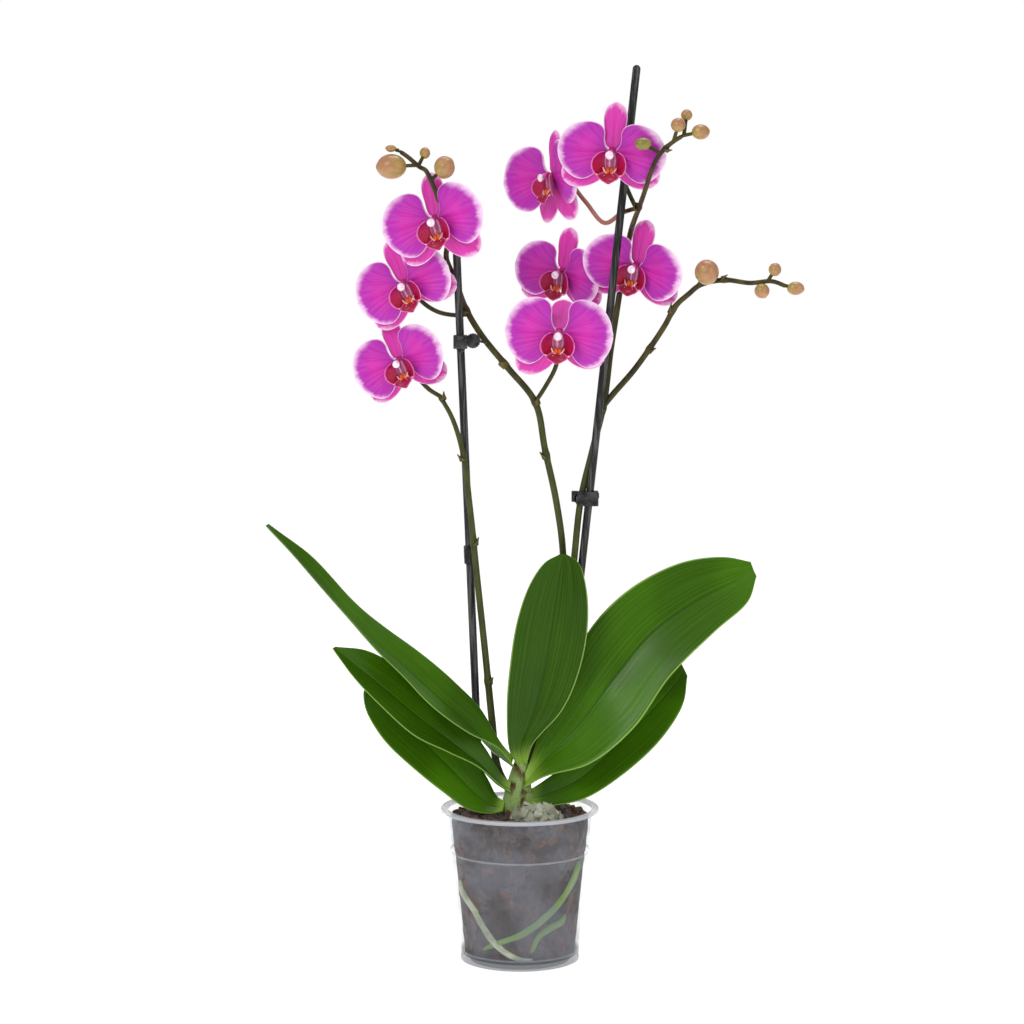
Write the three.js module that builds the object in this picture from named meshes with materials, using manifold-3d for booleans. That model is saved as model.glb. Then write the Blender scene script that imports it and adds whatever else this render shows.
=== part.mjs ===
// A potted moth orchid: a clear growers' pot full of bark, a short crown with six leaves, three
// flower spikes, two plastic stakes with their clips, eight open blooms and twelve buds.
// Millimetres, +Z up. The origin is the centre of the pot's underside and -Y is the front.
import * as THREE from "three";
import { mergeVertices } from "three/addons/utils/BufferGeometryUtils.js";
import Module from "manifold-3d";

const wasm = await Module();
wasm.setup();

// ---- driving dimensions ----
const GAP = 0.3; // air between pieces that touch on the real plant
const SEED = 4711;

const POT = {
  height: 117, rim: 60, rimInner: 54.8, rimDrop: 2.7, lip: 56.2, ringZ: 84, ringOut: 53.6, ringStep: 0.7,
  foot: 45, footZ: 8, wall: 1.3, floorZ: 3, floorThick: 1.6, boss: 14, footRing: 38, sides: 24,
  holes: 6, holeAt: 27, holeRadius: 4,
};
const BARK = { top: 109, chips: 19, chipSize: 9, chipFlat: 0.45 };
const CROWN = { foot: 92, top: 157, radii: [13, 12.5, 10.5, 8, 4] };
const STAKE = { radius: 3, sides: 10 };
const SPIKE = { base: 3.1, middle: 2.6, tip: 1.6, pedicel: 1.7, stalk: [1.5, 1.3], sides: 6 };
const TEPAL = { half: 0.4, from: 3, reach: 40.6, tip: 2.2, neck: 3.4 }; // all petals and sepals
const LEAF = { half: 1, rows: 10, columns: 4 };

// ---- small tools ----
const V = (x, y, z) => new THREE.Vector3(x, y, z);
const vec = (p) => V(p[0], p[1], p[2]);
const mix = (a, b, t) => a + (b - a) * t;
const rad = THREE.MathUtils.degToRad;

function randomFrom(seed) {
  let state = seed;
  return () => {
    state = (state * 1664525 + 1013904223) % 4294967296;
    return state / 4294967296;
  };
}

// Value of a list at t in 0..1, each entry at an even step.
function along(list, t) {
  const place = Math.min(Math.max(t, 0), 1) * (list.length - 1);
  const i = Math.min(Math.floor(place), list.length - 2);
  return mix(list[i], list[i + 1], place - i);
}

function signedVolume(points, faces) {
  const [a, b, c] = [V(), V(), V()];
  let sum = 0;
  for (let i = 0; i < faces.length; i += 3) {
    a.fromArray(points, faces[i] * 3);
    b.fromArray(points, faces[i + 1] * 3);
    c.fromArray(points, faces[i + 2] * 3);
    sum += a.dot(b.cross(c)) / 6;
  }
  return sum;
}

// A closed surface as a solid, turned so that its faces point out.
function solidFrom(points, faces) {
  const order = faces.slice();
  if (signedVolume(points, order) < 0) {
    for (let i = 0; i < order.length; i += 3) [order[i + 1], order[i + 2]] = [order[i + 2], order[i + 1]];
  }
  return new wasm.Manifold(new wasm.Mesh({
    numProp: 3, vertProperties: new Float32Array(points), triVerts: new Uint32Array(order),
  }));
}

function solid(geometry) {
  const bare = geometry.index ? geometry.toNonIndexed() : geometry;
  bare.deleteAttribute("normal");
  bare.deleteAttribute("uv");
  const merged = mergeVertices(bare, 1e-4);
  const kept = [];
  const index = merged.index.array;
  for (let i = 0; i < index.length; i += 3) {
    const [a, b, c] = [index[i], index[i + 1], index[i + 2]];
    if (a !== b && b !== c && c !== a) kept.push(a, b, c);
  }
  return solidFrom(Array.from(merged.attributes.position.array), kept);
}

function geometryOf(body) {
  const mesh = body.getMesh();
  const geometry = new THREE.BufferGeometry();
  geometry.setAttribute("position", new THREE.BufferAttribute(new Float32Array(mesh.vertProperties), 3));
  geometry.setIndex(new THREE.BufferAttribute(new Uint32Array(mesh.triVerts), 1));
  geometry.computeVertexNormals();
  return geometry;
}

const union = (bodies) => bodies.reduce((sum, body) => sum.add(body));

// Rings of equal count joined in a row, closed by a fan at each end.
function loft(rings) {
  const count = rings[0].length;
  const points = rings.flat().flatMap((p) => p.toArray());
  const faces = [];
  for (let r = 0; r + 1 < rings.length; r += 1) {
    for (let i = 0; i < count; i += 1) {
      const [a, b] = [r * count + i, r * count + (i + 1) % count];
      faces.push(a, b, b + count, a, b + count, a + count);
    }
  }
  for (const r of [0, rings.length - 1]) {
    const hub = points.length / 3;
    const middle = rings[r].reduce((sum, p) => sum.add(p), V(0, 0, 0)).divideScalar(count);
    points.push(...middle.toArray());
    for (let i = 0; i < count; i += 1) {
      const [a, b] = [r * count + i, r * count + (i + 1) % count];
      faces.push(...(r === 0 ? [hub, b, a] : [hub, a, b]));
    }
  }
  return solidFrom(points, faces);
}

// A round stem along a smooth path, with a list of radii spread evenly over its length.
function stem(path, radii, { sides = SPIKE.sides, steps = 0, grow = 0 } = {}) {
  const curve = new THREE.CatmullRomCurve3(path, false, "centripetal");
  const count = steps || Math.max(2, path.length * 2 - 2);
  const rings = [];
  let side = V(1, 0.2, 0);
  for (let s = 0; s <= count; s += 1) {
    const t = s / count;
    const heading = curve.getTangentAt(t);
    side = side.clone().addScaledVector(heading, -side.dot(heading)).normalize();
    const other = heading.clone().cross(side);
    const centre = curve.getPointAt(t);
    if (s === 0) centre.addScaledVector(heading, -grow);
    if (s === count) centre.addScaledVector(heading, grow);
    const radius = along(radii, t) + grow;
    const ring = [];
    for (let i = 0; i < sides; i += 1) {
      const angle = (i / sides) * Math.PI * 2;
      ring.push(centre.clone()
        .addScaledVector(side, Math.cos(angle) * radius)
        .addScaledVector(other, Math.sin(angle) * radius));
    }
    rings.push(ring);
  }
  return loft(rings);
}

// A thin blade. place(u, v) gives the middle surface and half its half thickness; both faces are
// split into the same triangles.
function blade(rows, columns, place, half, grow = 0) {
  const step = 1e-3;
  const points = [];
  for (const face of [1, -1]) {
    for (let i = 0; i <= rows; i += 1) {
      for (let j = 0; j <= columns; j += 1) {
        const [u, v] = [i / rows, (j / columns) * 2 - 1];
        const du = place(u + step, v).sub(place(u - step, v));
        const dv = place(u, v + step).sub(place(u, v - step));
        const normal = du.clone().cross(dv).normalize();
        const p = place(u, v).addScaledVector(normal, face * (half(u, v) + grow));
        if (grow && (i === 0 || i === rows)) p.addScaledVector(du.normalize(), i === 0 ? -grow : grow);
        if (grow && (j === 0 || j === columns)) p.addScaledVector(dv.normalize(), j === 0 ? -grow : grow);
        points.push(...p.toArray());
      }
    }
  }
  const wide = columns + 1;
  const back = wide * (rows + 1);
  const faces = [];
  for (let i = 0; i < rows; i += 1) {
    for (let j = 0; j < columns; j += 1) {
      const a = i * wide + j;
      const [b, c, d] = [a + wide, a + wide + 1, a + 1];
      faces.push(a, b, c, a, c, d);
      faces.push(back + a, back + c, back + b, back + a, back + d, back + c);
    }
  }
  const edge = (a, b) => faces.push(a, back + a, back + b, a, back + b, b);
  for (let i = 0; i < rows; i += 1) {
    edge(i * wide, (i + 1) * wide);
    edge((i + 1) * wide + columns, i * wide + columns);
  }
  for (let j = 0; j < columns; j += 1) {
    edge(j + 1, j);
    edge(rows * wide + j, rows * wide + j + 1);
  }
  return solidFrom(points, faces);
}

// A ball of few faces, stretched by its three radii and turned.
function ball(centre, radii, turn = [0, 0, 0], [across, down] = [8, 5]) {
  const geometry = new THREE.SphereGeometry(1, across, down);
  const place = new THREE.Matrix4().compose(
    centre, new THREE.Quaternion().setFromEuler(new THREE.Euler(...turn)), vec(radii));
  return solid(geometry.applyMatrix4(place));
}

function turned(outline, sides) {
  const geometry = new THREE.LatheGeometry(outline.map(([r, z]) => new THREE.Vector2(r, z)), sides);
  return solid(geometry.rotateX(Math.PI / 2));
}

function box(centre, [x, y, z], turnY = 0) {
  const geometry = new THREE.BoxGeometry(x, y, z);
  geometry.rotateY(turnY).translate(centre.x, centre.y, centre.z);
  return solid(geometry);
}

// ---- materials and the growing list of pieces ----
const paint = (color, roughness, more = {}) =>
  new THREE.MeshStandardMaterial({ color, roughness, ...more });
const COLOURS = {
  pot: paint(0xb9bcc4, 0.25, { transparent: true, opacity: 0.55 }),
  bark: paint(0x4a3124, 0.9),
  root: paint(0x8fa86c, 0.7),
  crown: paint(0x7ea83a, 0.5),
  leaf: paint(0x2f6a17, 0.35),
  spike: paint(0x5c6136, 0.55),
  stake: paint(0x2b2b2e, 0.45),
  clip: paint(0x151517, 0.4),
  bud: paint(0xb98a68, 0.45),
  tepal: paint(0xc73fb4, 0.55),
  lip: paint(0xb0124f, 0.5),
  chips: paint(0xc9cdbd, 0.85),
};

const orchid = new THREE.Group();
function addPiece(name, body, material) {
  const mesh = new THREE.Mesh(geometryOf(body), material);
  mesh.name = name;
  orchid.add(mesh);
}

// ---- pot ----
const wallAt = (z) => (z >= POT.ringZ
  ? mix(POT.ringOut, POT.lip, (z - POT.ringZ) / (POT.height - POT.ringZ))
  : mix(POT.foot + 0.6, POT.ringOut - POT.ringStep, (z - POT.footZ) / (POT.ringZ - POT.footZ)));
const insideAt = (z) => wallAt(z) - POT.wall;
const FLOOR = POT.floorZ + POT.floorThick;

function pot() {
  const { height, rim, rimInner, rimDrop, ringZ, foot, footZ, floorZ, boss, footRing, sides } = POT;
  const shell = turned([
    [0, 0], [boss, 0], [boss + 2, floorZ], [footRing - 2, floorZ], [footRing, 0], [foot - 0.8, 0],
    [foot, 0.8], [foot, footZ - 0.6], [foot + 0.6, footZ], [wallAt(ringZ - 0.01), ringZ - 0.6],
    [wallAt(ringZ), ringZ], [wallAt(height - rimDrop), height - rimDrop], [rim - 0.5, height - rimDrop],
    [rim, height - rimDrop + 0.5], [rim, height - 0.6], [rim - 0.6, height], [rimInner, height],
    [insideAt(ringZ) - 0.1, ringZ], [insideAt(footZ), footZ], [insideAt(footZ) - 1, FLOOR],
    [boss + 4, FLOOR], [boss + 1, POT.floorThick], [0, POT.floorThick],
  ], sides);
  const drill = [];
  for (let i = 0; i < POT.holes; i += 1) {
    const angle = ((i + 0.5) / POT.holes) * Math.PI * 2;
    const hole = new THREE.CylinderGeometry(POT.holeRadius, POT.holeRadius, 8, 6).rotateX(Math.PI / 2);
    hole.translate(Math.cos(angle) * POT.holeAt, Math.sin(angle) * POT.holeAt, floorZ + 1);
    drill.push(solid(hole));
  }
  return drill.reduce((sum, hole) => sum.subtract(hole), shell);
}

// ---- crown ----
const CROWN_PATH = [V(0, 0, CROWN.foot), V(0, 0, 110), V(-1, 0, 128), V(0, 1, 144), V(2, 2, CROWN.top)];
const crownBody = (grow = 0) => stem(CROWN_PATH, CROWN.radii, { sides: 10, steps: 6, grow });

// ---- leaves ----
// Each station has the places of the blade's lower (or left) and upper (or right) margin and how
// deep the channel between them lies.
const LEAVES = {
  leaf_left_upper: [
    [[-4, -9, 148], [-5, 1, 155], 2],
    [[-15, -15, 164], [-14, 3, 165], 6],
    [[-38, -26, 178], [-31, 5, 194], 7],
    [[-64, -36, 200], [-50, 6, 212], 6],
    [[-85, -38, 221], [-77, 4, 235], 5],
    [[-104, -37, 239], [-103, 2, 256], 5],
    [[-132, -32, 272], [-126, -2, 276], 5],
    [[-162, -25, 305], [-158, -6, 310], 3],
    [[-190, -17, 334], [-188, -14, 335], 0.5],
  ],
  leaf_left_middle: [
    [[-7, -11, 130], [-5, -4, 135], 2],
    [[-16, -15, 137], [-13, -4, 142], 4],
    [[-32, -22, 153], [-23, -5, 158], 6],
    [[-54, -32, 165], [-39, -6, 179], 7],
    [[-78, -40, 178], [-62, -8, 204], 8],
    [[-104, -42, 203], [-90, -11, 225], 7],
    [[-127, -36, 226], [-117, -18, 240], 5],
    [[-140, -28, 243], [-138, -26, 244], 0.5],
  ],
  leaf_left_lower: [
    [[-13, -13, 116], [-11, -5, 122], 1.5],
    [[-23, -16, 115], [-17, -1, 125], 2],
    [[-40, -16, 119], [-24, 1, 137], 3],
    [[-60, -14, 132], [-36, 3, 156], 4],
    [[-83, -12, 151], [-61, 10, 183], 4],
    [[-104, -9, 172], [-85, 14, 203], 3],
    [[-117, -8, 194], [-106, 8, 210], 2],
    [[-118, -6, 206], [-115, -3, 210], 0.5],
  ],
  leaf_back_upright: [
    [[-2, -3, 149], [5, -4, 150], 2],
    [[-8, -7, 162], [10, -9, 167], 4],
    [[-10, -8, 193], [32, -9, 193], 6],
    [[-8, -7, 223], [44, -8, 220], 6],
    [[-2, -5, 261], [51, -6, 255], 5],
    [[8, -3, 289], [50, -4, 285], 4],
    [[19, 0, 304], [44, 0, 304], 2],
    [[30, 2, 310], [35, 2, 310], 0.5],
  ],
  leaf_right_upper: [
    [[3, -12, 134], [3, -5, 141], 2],
    [[19, -14, 143], [12, 2, 164], 5],
    [[53, -15, 153], [27, 10, 202], 8],
    [[85, -13, 179], [55, 14, 254], 9],
    [[113, -6, 218], [84, 22, 281], 8],
    [[147, 4, 250], [123, 30, 300], 6],
    [[173, 15, 272], [154, 34, 304], 4],
    [[180, 25, 290], [176, 33, 300], 1],
  ],
  leaf_right_lower: [
    [[5, -10, 120], [5, -2, 129], 2],
    [[19, -9, 119], [18, 4, 136], 3],
    [[47, -4, 123], [40, 13, 152], 5],
    [[78, 3, 141], [65, 24, 181], 6],
    [[107, 11, 166], [90, 31, 206], 5],
    [[124, 18, 192], [110, 34, 220], 3],
    [[128, 26, 213], [123, 33, 223], 1],
  ],
};

function leafBody(stations, grow = 0) {
  const margin = (k) => new THREE.CatmullRomCurve3(stations.map((s) => vec(s[k])), false, "centripetal");
  const [low, high] = [margin(0), margin(1)];
  const sags = stations.map((s) => s[2]);
  const place = (u, v) => {
    const t = Math.min(Math.max(u, 0), 1);
    const [a, b] = [low.getPoint(t), high.getPoint(t)];
    const centre = a.clone().lerp(b, 0.5);
    const heading = low.getTangent(t).add(high.getTangent(t)).normalize();
    centre.addScaledVector(heading, (u - t) * 100);
    const across = b.clone().sub(a).multiplyScalar(0.5);
    let up = across.clone().cross(heading).normalize();
    if (up.z - up.y < 0) up = up.negate();
    const channel = 1.25 * (1 - Math.sqrt(0.96 * v * v + 0.04));
    return centre.addScaledVector(across, v).addScaledVector(up, -along(sags, t) * channel);
  };
  const half = (u, v) => LEAF.half * (1 - 0.35 * Math.abs(v)) * mix(1.25, 0.7, u);
  return blade(LEAF.rows, LEAF.columns, place, half, grow);
}

// ---- blooms ----
// Each bloom: where its petals meet, degrees turned to the left, faced down and rolled to the
// left, the degrees its left and right petals are swept forward, how far its left and right side
// sepals point down, how far its upper sepal leans back, the height of its petals and its size
// against a common bloom of 78 mm.
const BLOOMS = {
  left_top: {
    at: [-62, -27, 561.7], yaw: 18, pitch: 6, roll: 15, sweep: [17, 21], down: [36, 52], lean: 22,
    rise: 0.92, size: 1,
  },
  left_middle: {
    at: [-85.5, 3, 513], yaw: 16, pitch: 6, roll: 24, sweep: [12, 20], down: [31, 25], lean: 9,
    rise: 0.94, size: 0.98,
  },
  left_low: {
    at: [-90, 15, 454.5], yaw: 16, pitch: 6, roll: 22, sweep: [14, 18], down: [31, 37], lean: 12,
    rise: 0.96, size: 0.92,
  },
  right_top: {
    at: [68.2, -8, 610.6], yaw: 12, pitch: 6, roll: -4, sweep: [8, 16], down: [31, 31], lean: 9,
    rise: 0.83, size: 1.02,
  },
  right_back: {
    at: [24.8, 46, 592.5], yaw: 56, pitch: 4, roll: 9, sweep: [34, 14], down: [50, 66], lean: 9,
    rise: 1, size: 0.96,
  },
  middle_back: {
    at: [32, 58, 519], yaw: 28, pitch: 5, roll: -9, sweep: [14, 26], down: [31, 31], lean: 9,
    rise: 0.88, size: 0.95,
  },
  right_middle: {
    at: [87.2, 20, 525], yaw: 20, pitch: 5, roll: -12, sweep: [20, 24], down: [31, 31], lean: 7,
    rise: 0.84, size: 0.98,
  },
  middle_low: {
    at: [29.2, -9, 477], yaw: 6, pitch: 6, roll: -3, sweep: [8, 16], down: [46, 33], lean: 58,
    rise: 1, size: 1,
  },
};
const PETAL = { depth: 0.4, curl: 4.5, rows: 8 };
const SIDE_SEPAL = { lengths: [20, 18.4], rise: 13.5, curl: 3 };
const UPPER_SEPAL = { reach: 17, rise: 8.8, curl: 1 };

function bloomPlace({ at, yaw, pitch, roll, size }) {
  const upright = new THREE.Matrix4().makeBasis(V(1, 0, 0), V(0, 0, 1), V(0, -1, 0));
  const turns = new THREE.Matrix4().makeRotationZ(rad(-yaw));
  const tip = new THREE.Matrix4().makeRotationX(rad(pitch));
  const spin = new THREE.Matrix4().makeRotationZ(rad(roll));
  return new THREE.Matrix4().makeTranslation(...at).multiply(turns).multiply(upright).multiply(tip)
    .multiply(spin).multiply(new THREE.Matrix4().makeScale(size, size, size));
}

// A place in a bloom's own frame, x to its right, y to its top and z out of its face.
const inBloom = (name, x, y, z) => V(x, y, z).applyMatrix4(bloomPlace(BLOOMS[name]));

// Margins of the petal on a bloom's right, from its foot to its tip.
const PETAL_UPPER = [
  [2.6, 2.2], [5.2, 6.5], [6.3, 12], [6.2, 18], [8.6, 23.2], [14.5, 26.4], [23, 26], [31.5, 21.6],
  [38, 12.5], [40.6, 2.6],
];
const PETAL_LOWER = [
  [2.6, -2.4], [4.8, -6.5], [7.6, -11.5], [11, -17], [15.5, -21.6], [21.5, -24.2], [28, -22.6], [34.4, -17],
  [39, -8.6], [40.7, -0.6],
];
const tepalHalf = (u, v) => TEPAL.half * (1.25 - 0.25 * Math.max(u, Math.abs(v)));

// A petal between its two margins: swept forward by degrees, with its far part curled back.
function petal({ sweep, rise, flip }) {
  const margin = (list) =>
    new THREE.CatmullRomCurve3(list.map(([x, y]) => V(x, y * rise, 0)), false, "centripetal");
  const [low, high] = [margin(PETAL_LOWER), margin(PETAL_UPPER)];
  const slope = Math.tan(rad(sweep));
  const place = (u, v) => {
    const t = Math.min(Math.max(u, 0), 1);
    const p = low.getPoint(t).lerp(high.getPoint(t), (v + 1) / 2);
    const out = Math.hypot(p.x, p.y * 0.6) / TEPAL.reach;
    return V(flip * p.x, p.y, PETAL.depth - PETAL.curl * out ** 3 + (p.x - TEPAL.from) * slope);
  };
  return blade(PETAL.rows, 2, place, tepalHalf);
}

// A sepal on the +X side before it is turned: an ellipse with a short neck to the centre and a
// blunt tip, both given by half their width. slope is how much it comes forward along its length.
function sepal({ turn, reach, rise, slope, curl, flip = 1 }) {
  const [from, depth] = [2.5, -1.9];
  const place = (u, v) => {
    const angle = Math.PI * u;
    const x = from + reach * (1 - Math.cos(angle));
    const round = rise * Math.sin(Math.min(Math.max(angle, 0), Math.PI));
    const y = v * Math.max(round, u < 0.5 ? TEPAL.neck : TEPAL.tip);
    const out = Math.hypot(x, y * 0.6) / (from + 2 * reach);
    return V(x, y, depth - curl * out ** 3 + (x - from) * slope);
  };
  const mirror = new THREE.Matrix4().makeScale(flip, 1, 1);
  const toPlace = mirror.multiply(new THREE.Matrix4().makeRotationZ(rad(turn)));
  return blade(5, 2, (u, v) => place(u, v).applyMatrix4(toPlace), tepalHalf);
}

function tepals({ sweep, down, lean, rise }) {
  const tilt = rad(lean);
  const hub = new THREE.CylinderGeometry(5, 3, 5.5, 6).rotateX(Math.PI / 2).translate(0, 0, -1.75);
  const bodies = [solid(hub)];
  for (const [i, flip] of [-1, 1].entries()) {
    const [turn, reach] = [-down[i], SIDE_SEPAL.lengths[i]];
    bodies.push(petal({ sweep: sweep[i], rise, flip }));
    bodies.push(sepal({ ...SIDE_SEPAL, turn, reach, slope: 0, flip }));
  }
  const reach = UPPER_SEPAL.reach * Math.cos(tilt);
  bodies.push(sepal({ ...UPPER_SEPAL, turn: 90, reach, slope: -Math.tan(tilt) }));
  return union(bodies);
}

// The column with its blunt tip, the lip's two raised side lobes and its pointed front lobe.
function lip() {
  const foot = ball(V(0, -3.5, 3.4), [4.8, 7.6, 2.1], [0, 0, 0], [6, 3]);
  const columnPath = [V(0, 1.5, 2.6), V(0, 1.2, 7), V(0, -0.6, 11.6)];
  const column = stem(columnPath, [3, 2.6, 3], { sides: 5, steps: 2 });
  const lobe = (flip) => blade(3, 2, (u, v) => {
    const angle = mix(-1.45, 1.45, u);
    const wide = 1 + 4 * Math.cos(angle);
    const out = 3.6 + (v + 1) * (1.2 + 3.6 * Math.cos(angle)) - 1.3 * (1 - v * v);
    return V(flip * (3 + wide + v * wide), -7.6 + 9 * Math.sin(angle), out);
  }, () => 0.45);
  const front = blade(3, 2, (u, v) => {
    const wide = along([3.2, 7.6, 5.8, 1.4], u);
    return V(v * wide, -8 - 13.5 * u, 4.2 + 8.6 * Math.sin(u * 1.9) + 1.2 * v * v);
  }, () => 0.5);
  return union([foot, column, lobe(1), lobe(-1), front]);
}

// ---- buds and spikes ----
const BUDS = {
  left_tip_large: { at: [-94.6, -24, 600.8], size: [11, 9.2, 9.2] },
  left_tip_small: { at: [-70.1, -20, 610.6], size: [3.9, 3.9, 4.3] },
  left_tip_round: { at: [-55.6, -29, 600.2], size: [7.6, 7.6, 8.4] },
  left_tip_end: { at: [-95, -24, 614], size: [4, 2.6, 2.6] },
  right_tip_low: { at: [115.6, -33, 631.2], size: [5.4, 5.2, 5.2] },
  right_tip_high: { at: [122.2, -24, 638.4], size: [4.2, 4.2, 4.2] },
  right_tip_end: { at: [132.2, -30, 626.1], size: [6.6, 5.6, 5.6] },
  right_tip_green: { at: [90.2, -27, 617.4], size: [6.4, 4.8, 4.6] },
  branch_large: { at: [138.8, -6, 522.4], size: [9, 9, 9.4] },
  branch_high: { at: [189.3, -8, 524.4], size: [4.7, 4.7, 4.9] },
  branch_low: { at: [179.8, -8, 508.6], size: [5.6, 5.4, 5.6] },
  branch_end: { at: [204.6, -10, 510.6], size: [6.4, 5, 5] },
};
const budBody = ({ at, size }) => ball(vec(at), size, [0, 0, 0], [7, 5]);

// A bud's stalk runs straight at its middle and stops just short of its skin, which its flat
// faces draw in a little.
const BUD_FACET = 0.93;
function stalk(from, { at, size }) {
  const away = from.clone().sub(vec(at)).normalize();
  const skin = 1 / Math.hypot(away.x / size[0], away.y / size[1], away.z / size[2]);
  return [from, vec(at).addScaledVector(away, skin * BUD_FACET + GAP)];
}

// The end of a pedicel: from behind the bloom to just short of its back.
const intoBloom = (name) => [inBloom(name, 0, -1.5, -11), inBloom(name, 0, 0, -4.5 - 2 * GAP)];

// The branch is the right spike's side shoot and is fused to it.
const PATHS = {
  spike_left: [
    [-8, 4, 128], [-17, 11, 145], [-21.2, 13, 181], [-26.5, 7, 236], [-32.4, -1, 294], [-37.5, -5, 346],
    [-42.6, -5, 386.5], [-50.7, -2, 413], [-61, 3, 431],
  ].map(vec),
  spike_middle: [
    ...[[0, 8, 132], [7.7, 14, 151], [21.5, 24, 195], [32, 27, 256], [32.7, 24, 308], [27.3, 18, 349],
      [18.9, 12, 388], [11.3, 8, 424.4], [-9, 9, 450], [-28.5, 10, 474], [-40.5, 11, 494],
      [-46.5, 9.5, 510], [-52, 5, 524], [-55, -3, 534]].map(vec),
    ...[[4.5, -11, -12], [10.8, 1.5, -7.2], [10.6, 6, -4], [8.2, 9.8, -0.8], [6, 14, -1.2],
      [5.4, 20, -2], [4.6, 28, -1.2], [3.4, 37, 0.5]].map((p) => inBloom("left_top", ...p)),
    ...[[-74, -25, 600.6], [-82, -24, 607.4], [-89, -24, 612.4]].map(vec),
  ],
  spike_right: [
    [8, 5, 136], [16, 8, 154], [27.7, 16.5, 194], [33, 17.5, 226], [36.6, 15.5, 257], [41, 14, 304],
    [46, 15, 350], [55, 18, 388], [63.2, 17, 422], [68.4, 20, 463], [72.6, 30, 488], [75.4, 34.5, 505],
    [78, 36, 522], [81.6, 34, 542],
    [83.6, 30, 552], [85.6, 19, 560], [88.2, -1, 569.5], [92, -20, 583], [96.6, -25, 598],
    [101.5, -27.5, 608.5], [110, -29, 617.3], [120, -30, 624],
  ].map(vec),
  branch: [
    [63, 17, 421], [70.4, 16.5, 430], [85.4, 15, 447.5], [99.2, 13, 467], [108.8, 12, 482],
    [116.6, 10, 496.4], [126, 6, 505.5], [134.5, 2, 512.5], [152, -2, 516.4], [171, -6, 514.4],
    [187.2, -8, 515.7], [198, -10, 512],
  ].map(vec),
};
const curveOf = (name) => new THREE.CatmullRomCurve3(PATHS[name], false, "centripetal");
const stepsOf = (name) => PATHS[name].length + 1;

// The place and heading of a stem's own middle line at its point nearest to a given one.
function nearestOn(name, target) {
  const spine = curveOf(name).getSpacedPoints(stepsOf(name));
  let best = { away: Infinity };
  for (let i = 0; i + 1 < spine.length; i += 1) {
    const at = new THREE.Line3(spine[i], spine[i + 1]).closestPointToPoint(target, true, V());
    const away = at.distanceTo(target);
    if (away < best.away) best = { away, at, heading: spine[i + 1].clone().sub(spine[i]).normalize() };
  }
  return best;
}

// Pedicels of the blooms: the place near the stem where each starts and the places it runs through.
const PEDICELS = {
  spike_left: [["left_low", [-60, 2.6, 429.5], [-69, 14, 434], [-79, 25, 444]]],
  spike_middle: [
    ["middle_low", [11.3, 8, 424], [19.5, 6.5, 437], [27, 5, 452]],
    ["left_middle", [-38.4, 10, 490.4], [-49, 13, 489.4], [-62, 14, 492], [-74, 14, 500]],
    ["left_top", [-55, -12, 549]],
  ],
  spike_right: [
    ["right_back", [88, -3, 569], [76.1, 11, 565.8], [64, 20, 558], [49, 40, 574]],
    ["right_top", [87, 2, 566], [82, 10, 579], [75.6, 8, 594]],
    ["right_middle", [78, 36, 521], [83, 36, 522]],
    ["middle_back", [70, 20, 476], [62, 42, 480], [48, 66, 498]],
  ],
  branch: [],
};

// Buds on stalks: the place near the stem where each stalk leaves it. The branch's last bud sits
// on the branch's own end.
const BUD_STALKS = {
  spike_left: [],
  spike_middle: [
    ["left_tip_large", [-76, -25, 602]], ["left_tip_small", [-74.6, -25, 602]],
    ["left_tip_round", [-64, -26, 592]], ["left_tip_end", [-89, -24, 612]],
  ],
  spike_right: [
    ["right_tip_low", [112, -29, 619]], ["right_tip_high", [120, -30, 624]],
    ["right_tip_end", [119.4, -30, 623.8]], ["right_tip_green", [103, -26, 611]],
  ],
  branch: [
    ["branch_large", [132, 2, 511]], ["branch_high", [184, -8, 515.6]], ["branch_low", [177, -7, 514.6]],
  ],
};

// Bracts at the nodes: a place near the stem, the side the bract leans to and its length.
const BRACTS = {
  spike_left: [
    [[-24, 10, 212], [1, -0.5, 0], 7], [[-35, -3, 320], [1, 0, 0], 7], [[-42, -5, 384], [-1, 0, 0], 7],
    [[-59, 2, 428], [1, 0, 0.4], 7],
  ],
  spike_middle: [
    [[32, 25, 300], [1, 0, 0], 7], [[19, 12, 384], [-1, 0, 0], 7], [[11, 8, 424], [0.8, -0.4, 0], 7],
    [[-12, 9, 453], [-0.5, -0.5, 0], 7], [[-40, 10, 493], [-0.6, 0, -0.2], 7],
  ],
  spike_right: [
    [[40, 10, 284], [-1, 0, 0], 7], [[63, 4, 419], [-1, -0.4, 0.3], 7], [[89, -2, 571], [-1, 0, 0.3], 6],
    [[107, -27, 614], [0.6, 0, -0.6], 5],
  ],
  branch: [
    [[98.5, 10, 463], [1, 0, -0.4], 7], [[114, 6, 493], [-0.5, 0, 0.9], 9],
    [[152, -2, 516], [-0.2, 0, 1], 6],
  ],
};

// A bract hugs the stem: a short cone whose point stands off to one side.
function bract(name, [near, lean, length], radius) {
  const { at, heading } = nearestOn(name, vec(near));
  const foot = at.clone().addScaledVector(heading, -length * 0.4);
  const point = at.clone().addScaledVector(heading, length * 0.6)
    .addScaledVector(vec(lean).normalize(), radius + 1.2);
  return stem([foot, at, point], [radius + 0.3, radius + 1, 0.5], { sides: 4, steps: 2 });
}

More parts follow.
